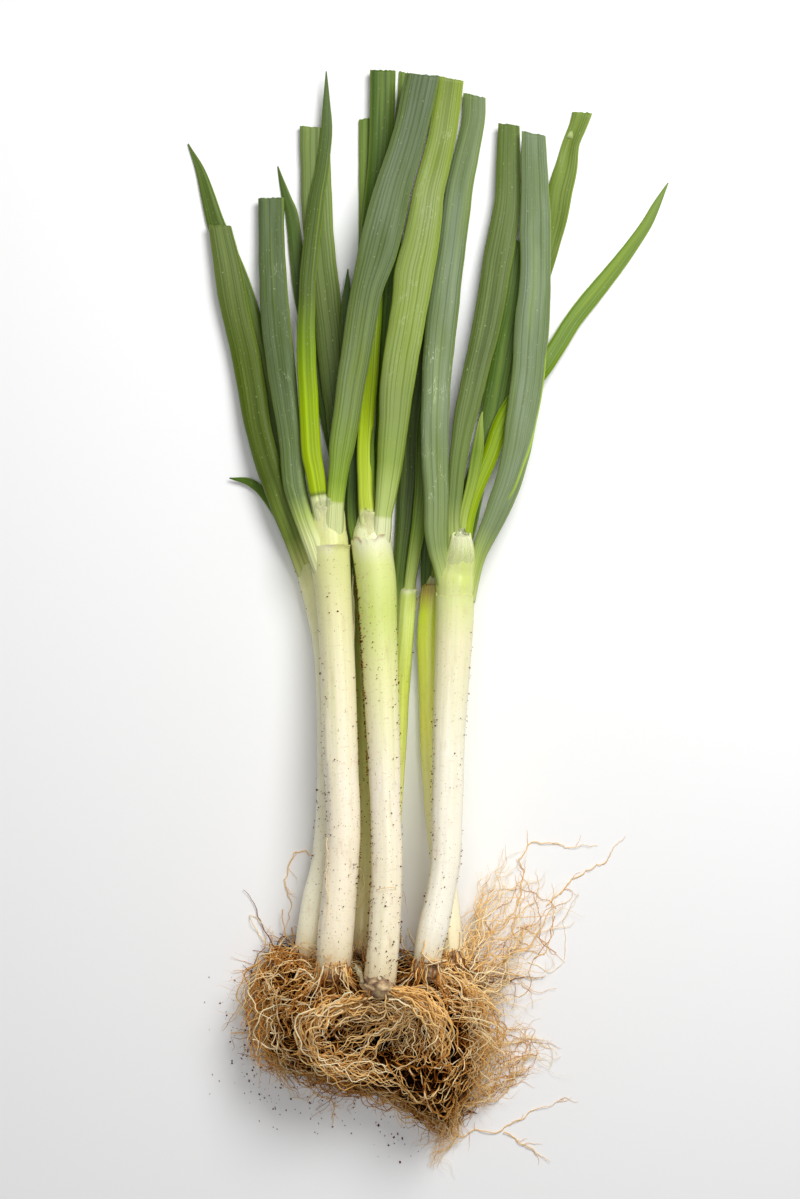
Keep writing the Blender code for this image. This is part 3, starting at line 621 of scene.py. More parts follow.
def makeLeaf(name, spec, number):
    shape = leafShape
    rng = np.random.default_rng(100 + number)
    stations, distance = smoothPath(spec["route"], shape["spacing"])
    xy, width = stations[:, :2], stations[:, 2]
    heights = middleHeights(name, xy)
    inStem = middleHeights(name[0] + "_stem", xy)
    heights = np.where(np.isnan(heights), np.where(distance < distance[-1] / 2, inStem, np.nan), heights)
    known = ~np.isnan(heights)
    heights = smoothed(np.interp(distance, distance[known], heights[known]), 40)
    heights += spec.get("lift", 0) * bell(distance, 14, 16)
    share = distance / distance[-1]
    pointed = width[-1] < 1
    width = width * (1 + 0.02 * wander(rng, distance, 45, 1))
    fullness = np.interp(share, *shape["thickness"])  # for each mm of width
    centres = np.column_stack([xy, heights])
    centres[:, 0] += wander(rng, distance, 90, 0.25) * np.minimum(1, share * 4)
    ahead, across, up = framesAlong(centres)
    roll = wander(rng, distance, 260, shape["roll"]) * np.minimum(1, share * 3)
    turnedAcross = across * np.cos(roll)[:, None] + up * np.sin(roll)[:, None]
    turnedUp = up * np.cos(roll)[:, None] - across * np.sin(roll)[:, None]
    angle = turnOf(shape["sides"])
    side, rise = np.cos(angle), np.sin(angle)  # side is -1 to 1 across the leaf
    top = rise > 0
    sag = shape["trough"] * bell(side, rng.uniform(-0.2, 0.2), 0.45) * top
    # the stronger veins stand up a little
    ribs = 1 + shape["ribHeight"] * np.sin(angle * shape["ribs"] + rng.uniform(0, 6))
    thick = width[:, None] / 2 * fullness[:, None] * (rise * (1 - sag) * ribs)
    blunt = np.sign(side) * np.abs(side) ** 0.85  # the edges of a pressed leaf are a little square
    wide = width[:, None] / 2 * blunt * np.ones((len(share), 1))
    for place, offset, depth in spec.get("dents", []):
        dip = bell((share - place) * distance[-1], 0, 9)[:, None]
        thick = thick - depth * dip * bell(side, offset, 0.5) * top
    lip = np.zeros(wide.shape)
    if "slit" in spec:  # the fold where one edge laps over, from near the middle to the side
        start, startSide, end, endSide, depth = spec["slit"]
        offset = np.interp(share, [start, end], [startSide, endSide])[:, None]
        window = ramp(np.minimum(share - start, 0.56 - share), 0, 0.03)[:, None] * top
        thick = thick - depth * window * bell(side, offset, 0.1)
        lip = window * bell(side, offset - 0.14, 0.1)
    rings = ringsRound(centres, turnedAcross, turnedUp, wide, thick)
    rim = np.abs(side) * np.ones((len(share), 1))
    cut = np.zeros(len(share))
    if not pointed:
        reach = blunt * width[-1] / 2 * rng.uniform(-0.25, 0.25) + rng.normal(0, 0.15, len(angle))
        rings[-1] += ahead[-1] * reach[:, None]
        deep = shape["hollowStations"]  # the wall's cut edge, then the hollow inside the leaf
        back = np.arange(len(share) - 1, len(share) - 1 - deep, -1)
        shrinkWide, shrinkThick = [np.maximum(0.05, 1 - 2 * shape["wall"] / size[back])[:, None, None]
                                   for size in (width, width * fullness)]
        offset = rings[back] - centres[back][:, None]
        flat = (offset * turnedUp[back][:, None]).sum(axis=2)[..., None] * turnedUp[back][:, None]
        inner = centres[back][:, None] + (offset - flat) * shrinkWide + flat * shrinkThick
        rings = np.concatenate([rings, inner])
        distance = np.concatenate([distance, distance[-1] + shape["spacing"] * np.arange(1, deep + 1)])
        share = np.concatenate([share, np.ones(deep)])
        cut = np.concatenate([cut, [0.9], np.full(deep - 1, 0.8)])
        rim, lip = [np.concatenate([values, 0 * values[:deep]]) for values in (rim, lip)]
    rings[..., 2] = np.maximum(rings[..., 2], 0.05)
    facts = {"along": share, "cut": cut, "rim": rim, "lip": lip}
    mesh = loftMesh(f"{name}_blade", rings, distance, facts)
    look = {**freshLook, **spec["look"], "shift": number * 1.7}
    addPiece(f"{name}_blade", mesh, alliumLeaf(f"waxyLeaf_{name}", look), [name])


matOutline = np.array([(-60, -131), (-70, -137), (-74, -150), (-73, -166), (-70, -182), (-58, -190),
                       (-38, -194), (-18, -199), (-4, -207), (8, -213), (17, -201), (23, -188),
                       (26, -170), (25, -152), (17, -141), (-2, -137), (-30, -138)], float)
matShape = {"top": 43, "slope": 8, "hollow": (-21, -172), "hollowSize": (15, 8), "hollowDepth": 0.6}
# painted shade on the strands below the mat's top: the depth where it starts to darken them and where it
# is darkest, and how much age it takes off there
strandShape = {"spacing": 1.5, "lowest": 0.3, "taper": ([0, 0.6, 1], [1, 0.8, 0.3]), "depthShade": (2, 14),
               "depthShadeStrength": 0.9}


def depthInside(outline, places):
    # how far each point is inside a closed outline, in mm; below zero outside it
    places = np.atleast_2d(places)[:, None]
    starts = np.roll(outline, 1, axis=0)
    run, to = outline - starts, places - starts
    share = np.clip((run * to).sum(axis=2) / (run ** 2).sum(axis=1), 0, 1)
    nearest = np.linalg.norm(to - run * share[..., None], axis=2).min(axis=1)
    steepness = run[:, 0] / np.where(run[:, 1] == 0, 1e-9, run[:, 1])
    level = (starts[:, 1] > places[..., 1]) != (outline[:, 1] > places[..., 1])
    crossed = level & (to[..., 0] < steepness * to[..., 1])
    return np.where(crossed.sum(axis=1) % 2, nearest, -nearest)


def matTop(places, top=matShape["top"]):
    # the mat rises from its edge, and dips in a hollow below the middle stem
    hollow = np.prod(bell(places[:, :2], matShape["hollow"], matShape["hollowSize"]), axis=1)
    rise = 1 - np.exp(-np.maximum(depthInside(matOutline, places), 0.2) / matShape["slope"])
    return top * rise * (1 - matShape["hollowDepth"] * hollow)


def aboveTable(path):
    path[:, 2] = np.maximum(path[:, 2], strandShape["lowest"])
    return path


def strandsMesh(name, paths, radii, ages, sides):
    # one mesh of many thin tubes, each tapering to its tip; strands deep in the mat are painted darker,
    # as painted shade
    points, faces, ageOf, base = [], [], [], 0
    angle = turnOf(sides)
    for path, radius, age in zip(paths, radii, ages):
        _, across, up = framesAlong(path)
        thin = radius * np.interp(np.linspace(0, 1, len(path)), *strandShape["taper"])[:, None]
        ring = ringsRound(path, across, up, thin * np.cos(angle), thin * np.sin(angle))
        ring[..., 2] = np.maximum(ring[..., 2], 0.02)
        points.append(ring.reshape(-1, 3))
        faces.append(quadsOf(len(path), sides) + base)
        ageOf.append(np.full(len(path), age))
        base += len(path) * sides
    middles = np.vstack(paths)
    # painted shade: the further a point lies below the mat's top, the lower its age and the darker it
    # renders
    depthShade = ramp(matTop(middles[:, :2]) - middles[:, 2], *strandShape["depthShade"])
    mesh = bpy.data.meshes.new(name)
    mesh.from_pydata((np.vstack(points) * mm).tolist(), [], np.vstack(faces).tolist())
    shade = np.repeat(np.clip(np.concatenate(ageOf) - strandShape["depthShadeStrength"] * depthShade, 0, 1), sides)
    mesh.attributes.new("age", "FLOAT", "POINT").data.foreach_set("value", shade)
    mesh.shade_smooth()
    return mesh


def waved(rng, path, distance, size):
    # the small kinks that a dried root has
    kinks = np.column_stack([wander(rng, distance, rng.uniform(6, 13), size) for _ in range(3)])
    return path + kinks * [1, 1, 0.5]


def guidedStrand(rng, group, guide, distance):
    # a strand that follows its group's guide, on its own side of it and at its own height
    start, end = rng.uniform(*group.get("start", (0, 0.1))), rng.uniform(*group.get("end", (0.75, 1)))
    first = int(start * (len(guide) - 1))
    last = min(len(guide) - 1, max(int(end * (len(guide) - 1)), first + 6))
    part, travelled = guide[first:last + 1], distance[first:last + 1]
    share = (travelled - travelled[0]) / max(travelled[-1] - travelled[0], 1)
    normal = np.column_stack([-np.gradient(part[:, 1]), np.gradient(part[:, 0])])
    normal /= np.maximum(np.linalg.norm(normal, axis=1, keepdims=True), 1e-6)
    startSide, endSide = rng.uniform(-1, 1), rng.uniform(-1.2, 1.2)
    place = startSide + (endSide - startSide) * share * group.get("mix", 0.8)
    level = rng.uniform(0, 1) ** group.get("towardsTop", 1) + wander(rng, travelled, 50, 0.2)
    level = np.clip(level, 0, 1.05)
    size, length = group["wave"]
    sideways = wander(rng, travelled, length * rng.uniform(0.7, 1.6), size) * np.minimum(1, share * 4)
    sideways += place * part[:, 4]
    height = part[:, 2] + (part[:, 3] - part[:, 2]) * level
    path = np.column_stack([part[:, :2] + normal * sideways[:, None], height])
    return aboveTable(waved(rng, path, travelled, group.get("kink", 0.5)))


def looseStrand(rng, spec):
    # a strand with no direction of its own: long turns that stay inside an outline
    outline = spec.get("outline", matOutline)
    low, high = outline.min(axis=0), outline.max(axis=0)
    place = rng.uniform(low, high)
    while depthInside(outline, place)[0] < 1.5:
        place = rng.uniform(low, high)
    heading, turns, count = rng.uniform(0, 2 * math.pi), [place], rng.integers(*spec["turns"])
    inside = rng.uniform(-2.5, 4)  # how near to the edge this one comes
    for number in range(count):
        slack = -spec.get("stray", 5) if number == count - 1 else inside
        for attempt in range(14):
            turned = heading + rng.normal(0, spec["bend"] + 0.15 * attempt)
            ahead = place + rng.uniform(*spec["stride"]) * np.array([math.cos(turned), math.sin(turned)])
            if depthInside(outline, ahead)[0] > slack:
                break
        heading, place = turned, ahead
        turns.append(place)
    levels = np.clip(rng.uniform(*spec["levels"]) + rng.normal(0, 0.12, len(turns)), 0.03, 1.04)
    path, distance = smoothPath(np.column_stack([turns, levels]), strandShape["spacing"])
    path = waved(rng, path, distance, spec.get("kink", 0.4))
    height = smoothed(matTop(path[:, :2], spec.get("top", matShape["top"])), 6) * path[:, 2]
    path[:, 2] = height + wander(rng, distance, 14, 0.7)
    return aboveTable(path)


def footStrand(rng, plant):
    # a root that leaves the foot of a stem, bends over its edge and runs off into the mat
    stations, _ = stemStations(plant)
    foot, width = stations[0, :3], stations[0, 3]
    back = foot - stations[3, :3]
    back /= np.linalg.norm(back)
    across = np.cross([0, 0, 1], back)
    turn = rng.uniform(-0.15, 1.15) * math.pi
    out = across * math.cos(turn) + np.array([0, 0, 1]) * math.sin(turn)
    start = foot - back * rng.uniform(-1, 5) + out * width * 0.46
    heading = math.atan2(*(back + out * 0.9)[1::-1]) + rng.normal(0, 0.45)
    turns = [start - back * 1.5 - out, start + out * 0.9 + back, start + out * 1.3 + back * 4]
    for number in range(rng.integers(2, 6)):
        stride = rng.uniform(5, 11)
        ahead = turns[-1] + stride * np.array([math.cos(heading), math.sin(heading), 0])
        share = 0.45 * (number + 1) if number < 2 else 1
        ahead[2] += (matTop(ahead[None, :2])[0] * rng.uniform(0.7, 1.0) - ahead[2]) * min(1, share)
        turns.append(ahead)
        heading += rng.normal(0, 0.5)
    path, distance = smoothPath(turns, strandShape["spacing"])
    return aboveTable(waved(rng, path, distance, 0.35))


def sideRootlet(rng, path, reach):
    # a hair that branches off a root and bends as it goes
    at = rng.integers(3, max(4, len(path) - 2))
    ahead = path[min(at + 2, len(path) - 1)] - path[at - 2]
    heading = math.atan2(ahead[1], ahead[0]) + rng.choice([-1, 1]) * rng.uniform(0.25, 1.0)
    count = max(6, int(reach / 1.2))
    step = reach / count
    bend = wander(rng, np.arange(count) * step, 14, 0.8) + heading
    slope = rng.uniform(-0.5, 0.1) * np.ones(count)
    run = np.cumsum(np.column_stack([np.cos(bend), np.sin(bend), slope]) * step, axis=0)
    return aboveTable(np.vstack([path[at], path[at] + run]))


rootStops = [(0.0, "#120702"), (0.2, "#4c2409"), (0.4, "#92531b"), (0.6, "#d19040"), (0.8, "#f8ca7e"),
             (1.0, "#fff0c6")]
# guide is x, y, the lowest and the highest strand there, and how far the strands spread to each side;
# start and end are shares of it; wave is how far a strand sways and over what length; mix is how far it
# moves over to the other side; forks is how many hairs branch off each strand
rootGroups = {
    "swirl_right": {
        "guide": [(-21, -151, 38, 46, 4), (-12, -152, 36, 48, 4), (-4, -155, 32, 49, 5),
                  (2, -162, 28, 48, 5), (3, -173, 20, 44, 6), (1, -184, 14, 36, 7), (4, -196, 6, 27, 8),
                  (8, -209, 2, 14, 5)],
        "count": 70, "radius": (0.22, 0.42), "wave": (3.6, 34), "age": (0.66, 1.0), "start": (0, 0.25),
        "end": (0.4, 1), "towardsTop": 0.6, "nodes": ["c_roots"]},
    "swirl_left": {
        "guide": [(-22, -152, 38, 46, 3), (-33, -155, 34, 47, 4), (-44, -160, 30, 46, 5),
                  (-50, -168, 24, 43, 5), (-46, -178, 18, 38, 5), (-34, -184, 14, 34, 6),
                  (-20, -186, 12, 34, 6), (-7, -190, 8, 30, 6), (2, -198, 4, 24, 7)],
        "count": 64, "radius": (0.22, 0.42), "wave": (4.2, 32), "age": (0.62, 1.0), "start": (0, 0.4),
        "end": (0.35, 1), "towardsTop": 0.6, "nodes": ["b_roots"]},
    "across_hollow": {
        "guide": [(-6, -156, 36, 46, 4), (-16, -162, 28, 40, 7), (-28, -170, 24, 36, 9),
                  (-39, -177, 20, 36, 8), (-45, -184, 12, 28, 7)],
        "count": 34, "radius": (0.2, 0.38), "wave": (3.0, 28), "age": (0.7, 1.0), "end": (0.5, 1),
        "mix": 1.0, "nodes": ["a_roots"]},
    "inside_loop": {
        "guide": [(-47, -171, 26, 40, 3), (-39, -162, 28, 42, 4), (-26, -158, 28, 42, 5),
                  (-12, -159, 28, 42, 5), (-5, -167, 26, 42, 5), (-8, -177, 20, 38, 5),
                  (-20, -182, 16, 34, 5), (-36, -180, 16, 34, 4)],
        "count": 40, "radius": (0.18, 0.36), "wave": (3.4, 26), "age": (0.7, 1.0), "start": (0, 0.6),
        "end": (0.4, 1), "mix": 1.2},
    "left_wisps": {
        "guide": [(-48, -150, 18, 34, 8), (-58, -150, 10, 24, 10), (-68, -149, 4, 16, 13),
                  (-76, -146, 0.6, 8, 16), (-82, -142, 0.6, 3, 20)],
        "count": 60, "radius": (0.12, 0.28), "wave": (5.0, 22), "age": (0.5, 1.0), "end": (0.4, 0.95),
        "kink": 0.7},
    "left_low_wisps": {
        "guide": [(-50, -172, 12, 30, 8), (-60, -176, 6, 20, 10), (-69, -182, 2, 10, 12),
                  (-75, -189, 0.6, 4, 16)],
        "count": 50, "radius": (0.12, 0.26), "wave": (5.0, 20), "age": (0.4, 1.0), "end": (0.5, 0.95),
        "kink": 0.7},
    "bottom_wisps": {
        "guide": [(-36, -180, 8, 24, 16), (-33, -190, 2, 16, 20), (-30, -199, 0.6, 6, 24),
                  (-28, -210, 0.6, 3, 26)],
        "count": 34, "radius": (0.1, 0.24), "wave": (4.0, 20), "age": (0.3, 0.85), "end": (0.5, 0.9),
        "kink": 0.8},
    "left_tuft": {
        "guide": [(-44, -145, 24, 40, 8), (-54, -141, 16, 36, 9), (-65, -145, 8, 30, 8),
                  (-68, -158, 5, 30, 9), (-64, -173, 4, 28, 10), (-54, -184, 3, 24, 9),
                  (-40, -190, 3, 22, 8)],
        "count": 110, "radius": (0.17, 0.36), "wave": (5.0, 30), "age": (0.5, 1.0), "mix": 1.2,
        "start": (0, 0.6), "end": (0.3, 1), "forks": 1, "nodes": ["d_roots"]},
    "left_front": {
        "guide": [(-38, -148, 30, 44, 9), (-50, -154, 22, 42, 10), (-61, -161, 12, 36, 10),
                  (-65, -175, 6, 28, 9), (-57, -187, 4, 22, 8)],
        "count": 80, "radius": (0.16, 0.34), "wave": (4.4, 28), "age": (0.5, 1.0), "mix": 1.1,
        "start": (0, 0.4), "end": (0.4, 1), "nodes": ["e_roots"]},
    "right_front": {
        "guide": [(-4, -146, 28, 42, 7), (10, -151, 22, 40, 8), (18, -162, 14, 34, 9),
                  (19, -176, 8, 28, 9), (14, -190, 4, 22, 9), (9, -206, 2, 14, 6)],
        "count": 130, "radius": (0.15, 0.34), "wave": (5.0, 24), "age": (0.68, 1.0), "mix": 1.2,
        "start": (0, 0.6), "end": (0.35, 1), "forks": 1, "nodes": ["f_roots"]},
    "right_fan": {
        "guide": [(10, -147, 10, 28, 5), (19, -141, 5, 22, 8), (28, -133, 1, 14, 12),
                  (38, -124, 0.6, 9, 12), (47, -115, 0.6, 5, 13), (54, -104, 0.6, 3, 12)],
        "count": 24, "radius": (0.14, 0.28), "wave": (5.0, 40), "age": (0.75, 1.0), "end": (0.5, 0.97),
        "forks": 1, "kink": 0.5, "nodes": ["c_root_fan"]},
    "right_steep_fan": {
        "guide": [(12, -145, 8, 26, 4), (17, -134, 3, 18, 5), (22, -121, 0.6, 10, 6),
                  (28, -108, 0.6, 5, 9), (36, -96, 0.6, 3, 12)],
        "count": 20, "radius": (0.13, 0.26), "wave": (4.0, 34), "age": (0.75, 1.0), "end": (0.45, 1),
        "forks": 1, "kink": 0.5},
    "right_low_fan": {
        "guide": [(10, -151, 8, 28, 5), (24, -149, 4, 18, 7), (36, -143, 0.6, 10, 10),
                  (47, -137, 0.6, 6, 12), (55, -129, 0.6, 3, 12)],
        "count": 22, "radius": (0.15, 0.3), "wave": (5.4, 34), "age": (0.75, 1.0), "end": (0.45, 1),
        "forks": 1, "kink": 0.6},
    "right_flat_fan": {
        "guide": [(12, -158, 6, 26, 6), (26, -158, 3, 14, 7), (37, -157, 0.6, 8, 8),
                  (47, -158, 0.6, 4, 9)],
        "count": 20, "radius": (0.14, 0.28), "wave": (4.6, 30), "age": (0.75, 1.0), "end": (0.35, 1),
        "forks": 1, "kink": 0.6},
    "right_skirt": {
        "guide": [(12, -170, 6, 22, 8), (23, -175, 2, 12, 10), (34, -178, 0.6, 7, 10),
                  (46, -178, 0.5, 4, 8), (58, -179, 0.4, 1.5, 2)],
        "count": 17, "radius": (0.1, 0.22), "wave": (3.6, 19), "age": (0.65, 1.0), "mix": 1.2,
        "start": (0, 0.3), "end": (0.3, 1), "forks": 4, "kink": 0.7, "nodes": ["g_roots"]},
    "right_hem": {
        "guide": [(10, -206, 1, 10, 5), (19, -201, 0.6, 7, 6), (29, -195, 0.6, 5, 5),
                  (39, -187, 0.5, 4, 4), (50, -180, 0.4, 2, 3)],
        "count": 20, "radius": (0.1, 0.26), "wave": (2.6, 20), "age": (0.65, 1.0), "mix": 1.1,
        "start": (0, 0.4), "end": (0.4, 1), "forks": 2, "kink": 0.6},
    "tail": {
        "guide": [(6, -200, 2, 14, 8), (9, -209, 1, 9, 6), (9, -216, 0.6, 5, 4), (4, -223, 0.5, 3, 2),
                  (1, -229, 0.4, 1.5, 1), (0.5, -233, 0.4, 0.8, 0.5)],
        "count": 40, "radius": (0.1, 0.26), "wave": (2.0, 16), "age": (0.65, 1.0), "mix": 0.9,
        "end": (0.2, 1.0), "forks": 1, "nodes": ["b_root_tail"]},
}
# roots with no common direction: turns and stride are the number and the length of their bends, levels
# the share of the mat's height where they lie, and stray how far their ends may leave the outline
tangles = {
    "mat_tangle": {"count": 150, "turns": (3, 9), "stride": (8, 17), "bend": 0.5, "radius": (0.18, 0.36),
                   "age": (0.5, 1.0), "levels": (0.6, 1.03)},
    # the deep strands get low ages as painted shade, dark beneath the paler strands on top
    "deep_tangle": {"count": 260, "turns": (3, 8), "stride": (7, 14), "bend": 0.7, "radius": (0.2, 0.4),
                    "age": (0.1, 0.55), "levels": (0.1, 0.7)},
    "fine_tangle": {"count": 80, "turns": (2, 7), "stride": (4, 9), "bend": 0.9, "radius": (0.08, 0.15),
                    "age": (0.3, 0.8), "levels": (0.6, 1.04), "kink": 0.6, "stray": 7},
    "fan_tangle": {"outline": np.array([(18, -158), (14, -140), (24, -124), (36, -104), (50, -100),
                                        (58, -112), (60, -130), (54, -142), (50, -156),
                                        (36, -162)], float), "top": 9, "count": 16, "turns": (3, 7),
                   "stride": (6, 14), "bend": 0.5, "radius": (0.08, 0.2), "age": (0.55, 1.0),
                   "levels": (0.1, 1.0), "kink": 0.7, "stray": 6},
    "hem_tangle": {"outline": np.array([(-66, -178), (-69, -187), (-52, -195), (-32, -200), (-14, -206),
                                        (0, -215), (9, -219), (16, -210), (22, -198), (8, -190),
                                        (-20, -184)], float), "top": 22, "count": 260, "turns": (3, 8),
                   "stride": (4, 10), "bend": 0.9, "radius": (0.1, 0.22), "age": (0.35, 0.85),
                   "levels": (0.2, 1.0), "kink": 0.6, "stray": 5},
    "lace_tangle": {"outline": np.array([(22, -164), (34, -168), (46, -170), (57, -178), (48, -184),
                                         (40, -191), (28, -201), (16, -208), (14, -180)], float),
                    "top": 5, "count": 34, "turns": (3, 8), "stride": (4, 10), "bend": 0.9,
                    "radius": (0.08, 0.17), "age": (0.45, 0.9), "levels": (0.1, 1.0), "kink": 0.7,
                    "stray": 2},
}
# how many strands leave the foot of each stem, and how many lie over it
feet = {"a": (42, 12), "b": (10, 0), "c": (42, 12), "d": (36, 14), "e": (20, 0), "f": (12, 0),
        "g": (30, 10)}
looseRoots = {
    "loose_root_1": [(50, -119), (54, -115), (61, -108), (69, -103), (74, -101), (78, -95), (83, -90)],
    "loose_root_2": [(38, -118), (40, -107), (39, -99), (43, -93), (50, -92), (60, -94), (72, -93)],
    "loose_root_3": [(-50, -97), (-56, -96), (-59, -102), (-60.5, -110), (-58, -119), (-61, -130)],
    "loose_root_4": [(-83, -172), (-79, -173), (-76, -172), (-72, -167)],
    "loose_root_5": [(-49, -198), (-43, -200), (-40, -204), (-41, -212)],
    "loose_root_6": [(9, -214), (14, -216), (20, -214), (30, -214), (40, -208), (51, -203), (58, -201)],
    "loose_root_7": [(32, -215), (38, -218), (45, -223), (52, -227)],
}
# thin roots that have stuck to the stems, laid over whatever is below them
strayRoots = [[(-29, -118), (-25, -111), (-19, -108), (-13, -109), (-10, -114), (-9, -122)],
              [(-49, -152), (-43, -145), (-36, -140), (-30, -133), (-27, -126)],
              [(-47, -156), (-38, -150), (-33, -143), (-31, -136)],
              [(-10, -138), (-3, -141), (4, -139), (10, -143), (18, -149)],
              [(-9, -128), (-6, -134), (1, -138), (6, -146), (9, -156)],
              [(-58, -128), (-55, -136), (-49, -141), (-43, -150)],
              [(-62, -120), (-60, -131), (-53, -136), (-50, -146), (-44, -152)],
              [(-33, -103), (-29, -101), (-27, -107), (-30, -118)],
              [(-12, -128), (-10, -136), (-6, -144), (2, -150)],
              [(13, -128), (12, -136), (8, -144), (12, -152)],
              [(-34, -150), (-28, -146), (-26, -139), (-27, -130)],
              [(-42.5, -88), (-42, -97), (-42.5, -106), (-41.5, -114), (-42, -121)]]


def addStrands(name, rng, paths, spec, sides, rooted, nodes=()):
    radii, ages = rng.uniform(*spec["radius"], len(paths)), rng.uniform(*spec["age"], len(paths))
    addPiece(name, strandsMesh(name, paths, radii, ages, sides), rooted, nodes)


def overFoot(rng, foot):
    # the turns of a strand that lies loose over the foot of a stem, and turns back when it gets too far
    place, heading, points = foot + rng.normal(0, 5, 2), rng.uniform(0, 2 * math.pi), []
    for _ in range(rng.integers(3, 7)):
        home = foot - place
        if np.linalg.norm(home) > 8:
            heading = math.atan2(home[1], home[0]) + rng.normal(0, 0.7)
        points.append(tuple(place))
        heading += rng.normal(0, 0.7)
        place = place + rng.uniform(6, 12) * np.array([math.cos(heading), 0.8 * math.sin(heading)])
        place[1] = min(place[1], foot[1] + rng.uniform(1, 6))
    return points


def draped(rng, points, trees):
    # lays a strand over the mat and over the stems that are under it
    route, distance = smoothPath([(x, y, 0) for x, y in points], 1.0)
    below = matTop(route[:, :2]) * 0.9
    for tree in trees:
        hits = [hitFrom(tree, x, y, 1) for x, y, _ in route]
        below = np.maximum(below, [hit.z / mm if hit else 0 for hit in hits])
    route[:, 2] = np.maximum(smoothed(below, 30), smoothed(below, 6)) + rng.uniform(0.4, 2.0)
    return waved(rng, route, distance, 0.4)


def makeRoots():
    rooted = dryRoot("driedRoot", rootStops)
    for number, (name, group) in enumerate(rootGroups.items()):
        rng = np.random.default_rng(300 + number)
        guide, distance = smoothPath(group["guide"], strandShape["spacing"])
        paths = [guidedStrand(rng, group, guide, distance) for _ in range(group["count"])]
        addStrands(f"{name}_roots", rng, paths, group, 5, rooted, group.get("nodes", ()))
        if "forks" in group:
            hairs = [sideRootlet(rng, path, rng.uniform(5, 17))
                     for path in paths for _ in range(group["forks"])]
            addStrands(f"{name}_rootlets", rng, hairs, {**group, "radius": (0.06, 0.12)}, 3, rooted)
    for number, (name, spec) in enumerate(tangles.items()):
        rng = np.random.default_rng(400 + number)
        paths = [looseStrand(rng, spec) for _ in range(spec["count"])]
        addStrands(f"{name}_roots", rng, paths, spec, 4, rooted)
    for plant, (count, _) in feet.items():
        rng = np.random.default_rng(450 + ord(plant))
        addStrands(f"{plant}_foot_roots", rng, [footStrand(rng, plant) for _ in range(count)],
                   {"radius": (0.15, 0.34), "age": (0.3, 1.0)}, 5, rooted)
    rng = np.random.default_rng(77)
    for name, points in looseRoots.items():
        route, distance = smoothPath([(x, y, 0.7) for x, y in points], 1.2)
        main = aboveTable(waved(rng, route, distance, 0.8))
        hairs = [sideRootlet(rng, main, rng.uniform(3, 9)) for _ in range(4)]
        mesh = strandsMesh(f"{name}_strand", [main] + hairs, [0.24] + [0.1] * 4, [0.8] + [0.7] * 4, 5)
        addPiece(f"{name}_strand", mesh, rooted, [name])
    turns = list(strayRoots)
    for plant, (_, count) in feet.items():
        foot = stemStations(plant)[0][0, :2] + (0, -1)
        turns += [overFoot(rng, foot) for _ in range(count)]
    trees = [surfaceOf(f"{plant}_stem") for plant in stems]
    addStrands("stray_roots", rng, [draped(rng, points, trees) for points in turns],
               {"radius": (0.13, 0.28), "age": (0.45, 1.0)}, 5, rooted)


# levels are shares of the mat's outline, each with a share of the height
soil = {"height": 17,
        "levels": [(0.78, 0.0), (0.84, 0.35), (0.82, 0.6), (0.74, 0.8), (0.64, 0.92), (0.52, 1),
                   (0.38, 1), (0.25, 1), (0.1, 1)],
        # near black, darker than the loam itself: partly painted shade in the gaps of the mat
        "stops": [(0.3, "#0c0502"), (0.55, "#1c0d05"), (0.8, "#3c210f")]}


def makeSoil():
    # loam that the roots hold, as one lump inside the mat; its near-black colour is partly real soil and
    # partly painted shade for the gaps between the strands
    rng = np.random.default_rng(500)
    outline, _ = smoothPath(np.vstack([matOutline, matOutline[:1]]), 2.5)
    middle = outline.mean(axis=0)
    rings = []
    for scale, rise in soil["levels"]:
        jitter = 1 + 0.03 * rng.normal(size=(len(outline) - 1, 1))
        ring = middle + (outline[:-1] - middle) * scale * jitter
        uneven = 1 + 0.1 * rng.normal(size=len(ring))
        rings.append(np.column_stack([ring, 0.6 + soil["height"] * rise * uneven]))
    mesh = loftMesh("held_soil", np.array(rings), np.arange(float(len(rings))), {})
    mesh.flip_normals()
    addPiece("held_soil", mesh, crumblySoil("loamAndGapShade", soil["stops"]))


# the middle plant's root plate shows, as a wrinkled skirt of brown bark; the others are hidden in roots
rootPlates = {plant: {"reach": (-3, 5), "sizes": (0.44, 0.52, 0.5, 0.4, 0.1), "fluting": 0.06}
              for plant in stems}
rootPlates["b"] = {"reach": (-6, 3), "sizes": (0.5, 0.56, 0.6, 0.48, 0.15), "fluting": 0.13}
plateShape = {"sides": 60, "stations": 16,
              "stops": [(0.3, "#54392b"), (0.45, "#8e7056"), (0.57, "#c0a278"), (0.72, "#e6d2a8")]}


def makeRootPlate(plant, spec):
    stations, _ = stemStations(plant)
    rng = np.random.default_rng(700 + ord(plant))
    back = stations[0, :3] - stations[3, :3]
    back /= np.linalg.norm(back)
    count = plateShape["stations"]
    reaches = np.linspace(*spec["reach"], count)
    sizes = np.interp(np.linspace(0, 1, count), np.linspace(0, 1, len(spec["sizes"])), spec["sizes"])
    sizes *= stations[0, 3]
    centres = stations[0, :3] + back * reaches[:, None]
    _, across, up = framesAlong(centres)
    angle = turnOf(plateShape["sides"])
    radius = sizes[:, None] * (1 + spec["fluting"] * crumple(rng, angle, reaches[:, None] * 0.25, 6))
    ragged = crumple(rng, angle, 0, 5) * (1 - ramp(reaches, -6, -2))[:, None] * 1.6
    rings = ringsRound(centres, across, up, radius * np.cos(angle), radius * np.sin(angle))
    rings += back * ragged[..., None]
    mesh = loftMesh(f"{plant}_plate_cork", rings, reaches, {})
    bark = corkyBark(f"corkyRootPlate_{plant}", plateShape["stops"])
    addPiece(f"{plant}_plate_cork", mesh, bark, [f"{plant}_root_plate"])


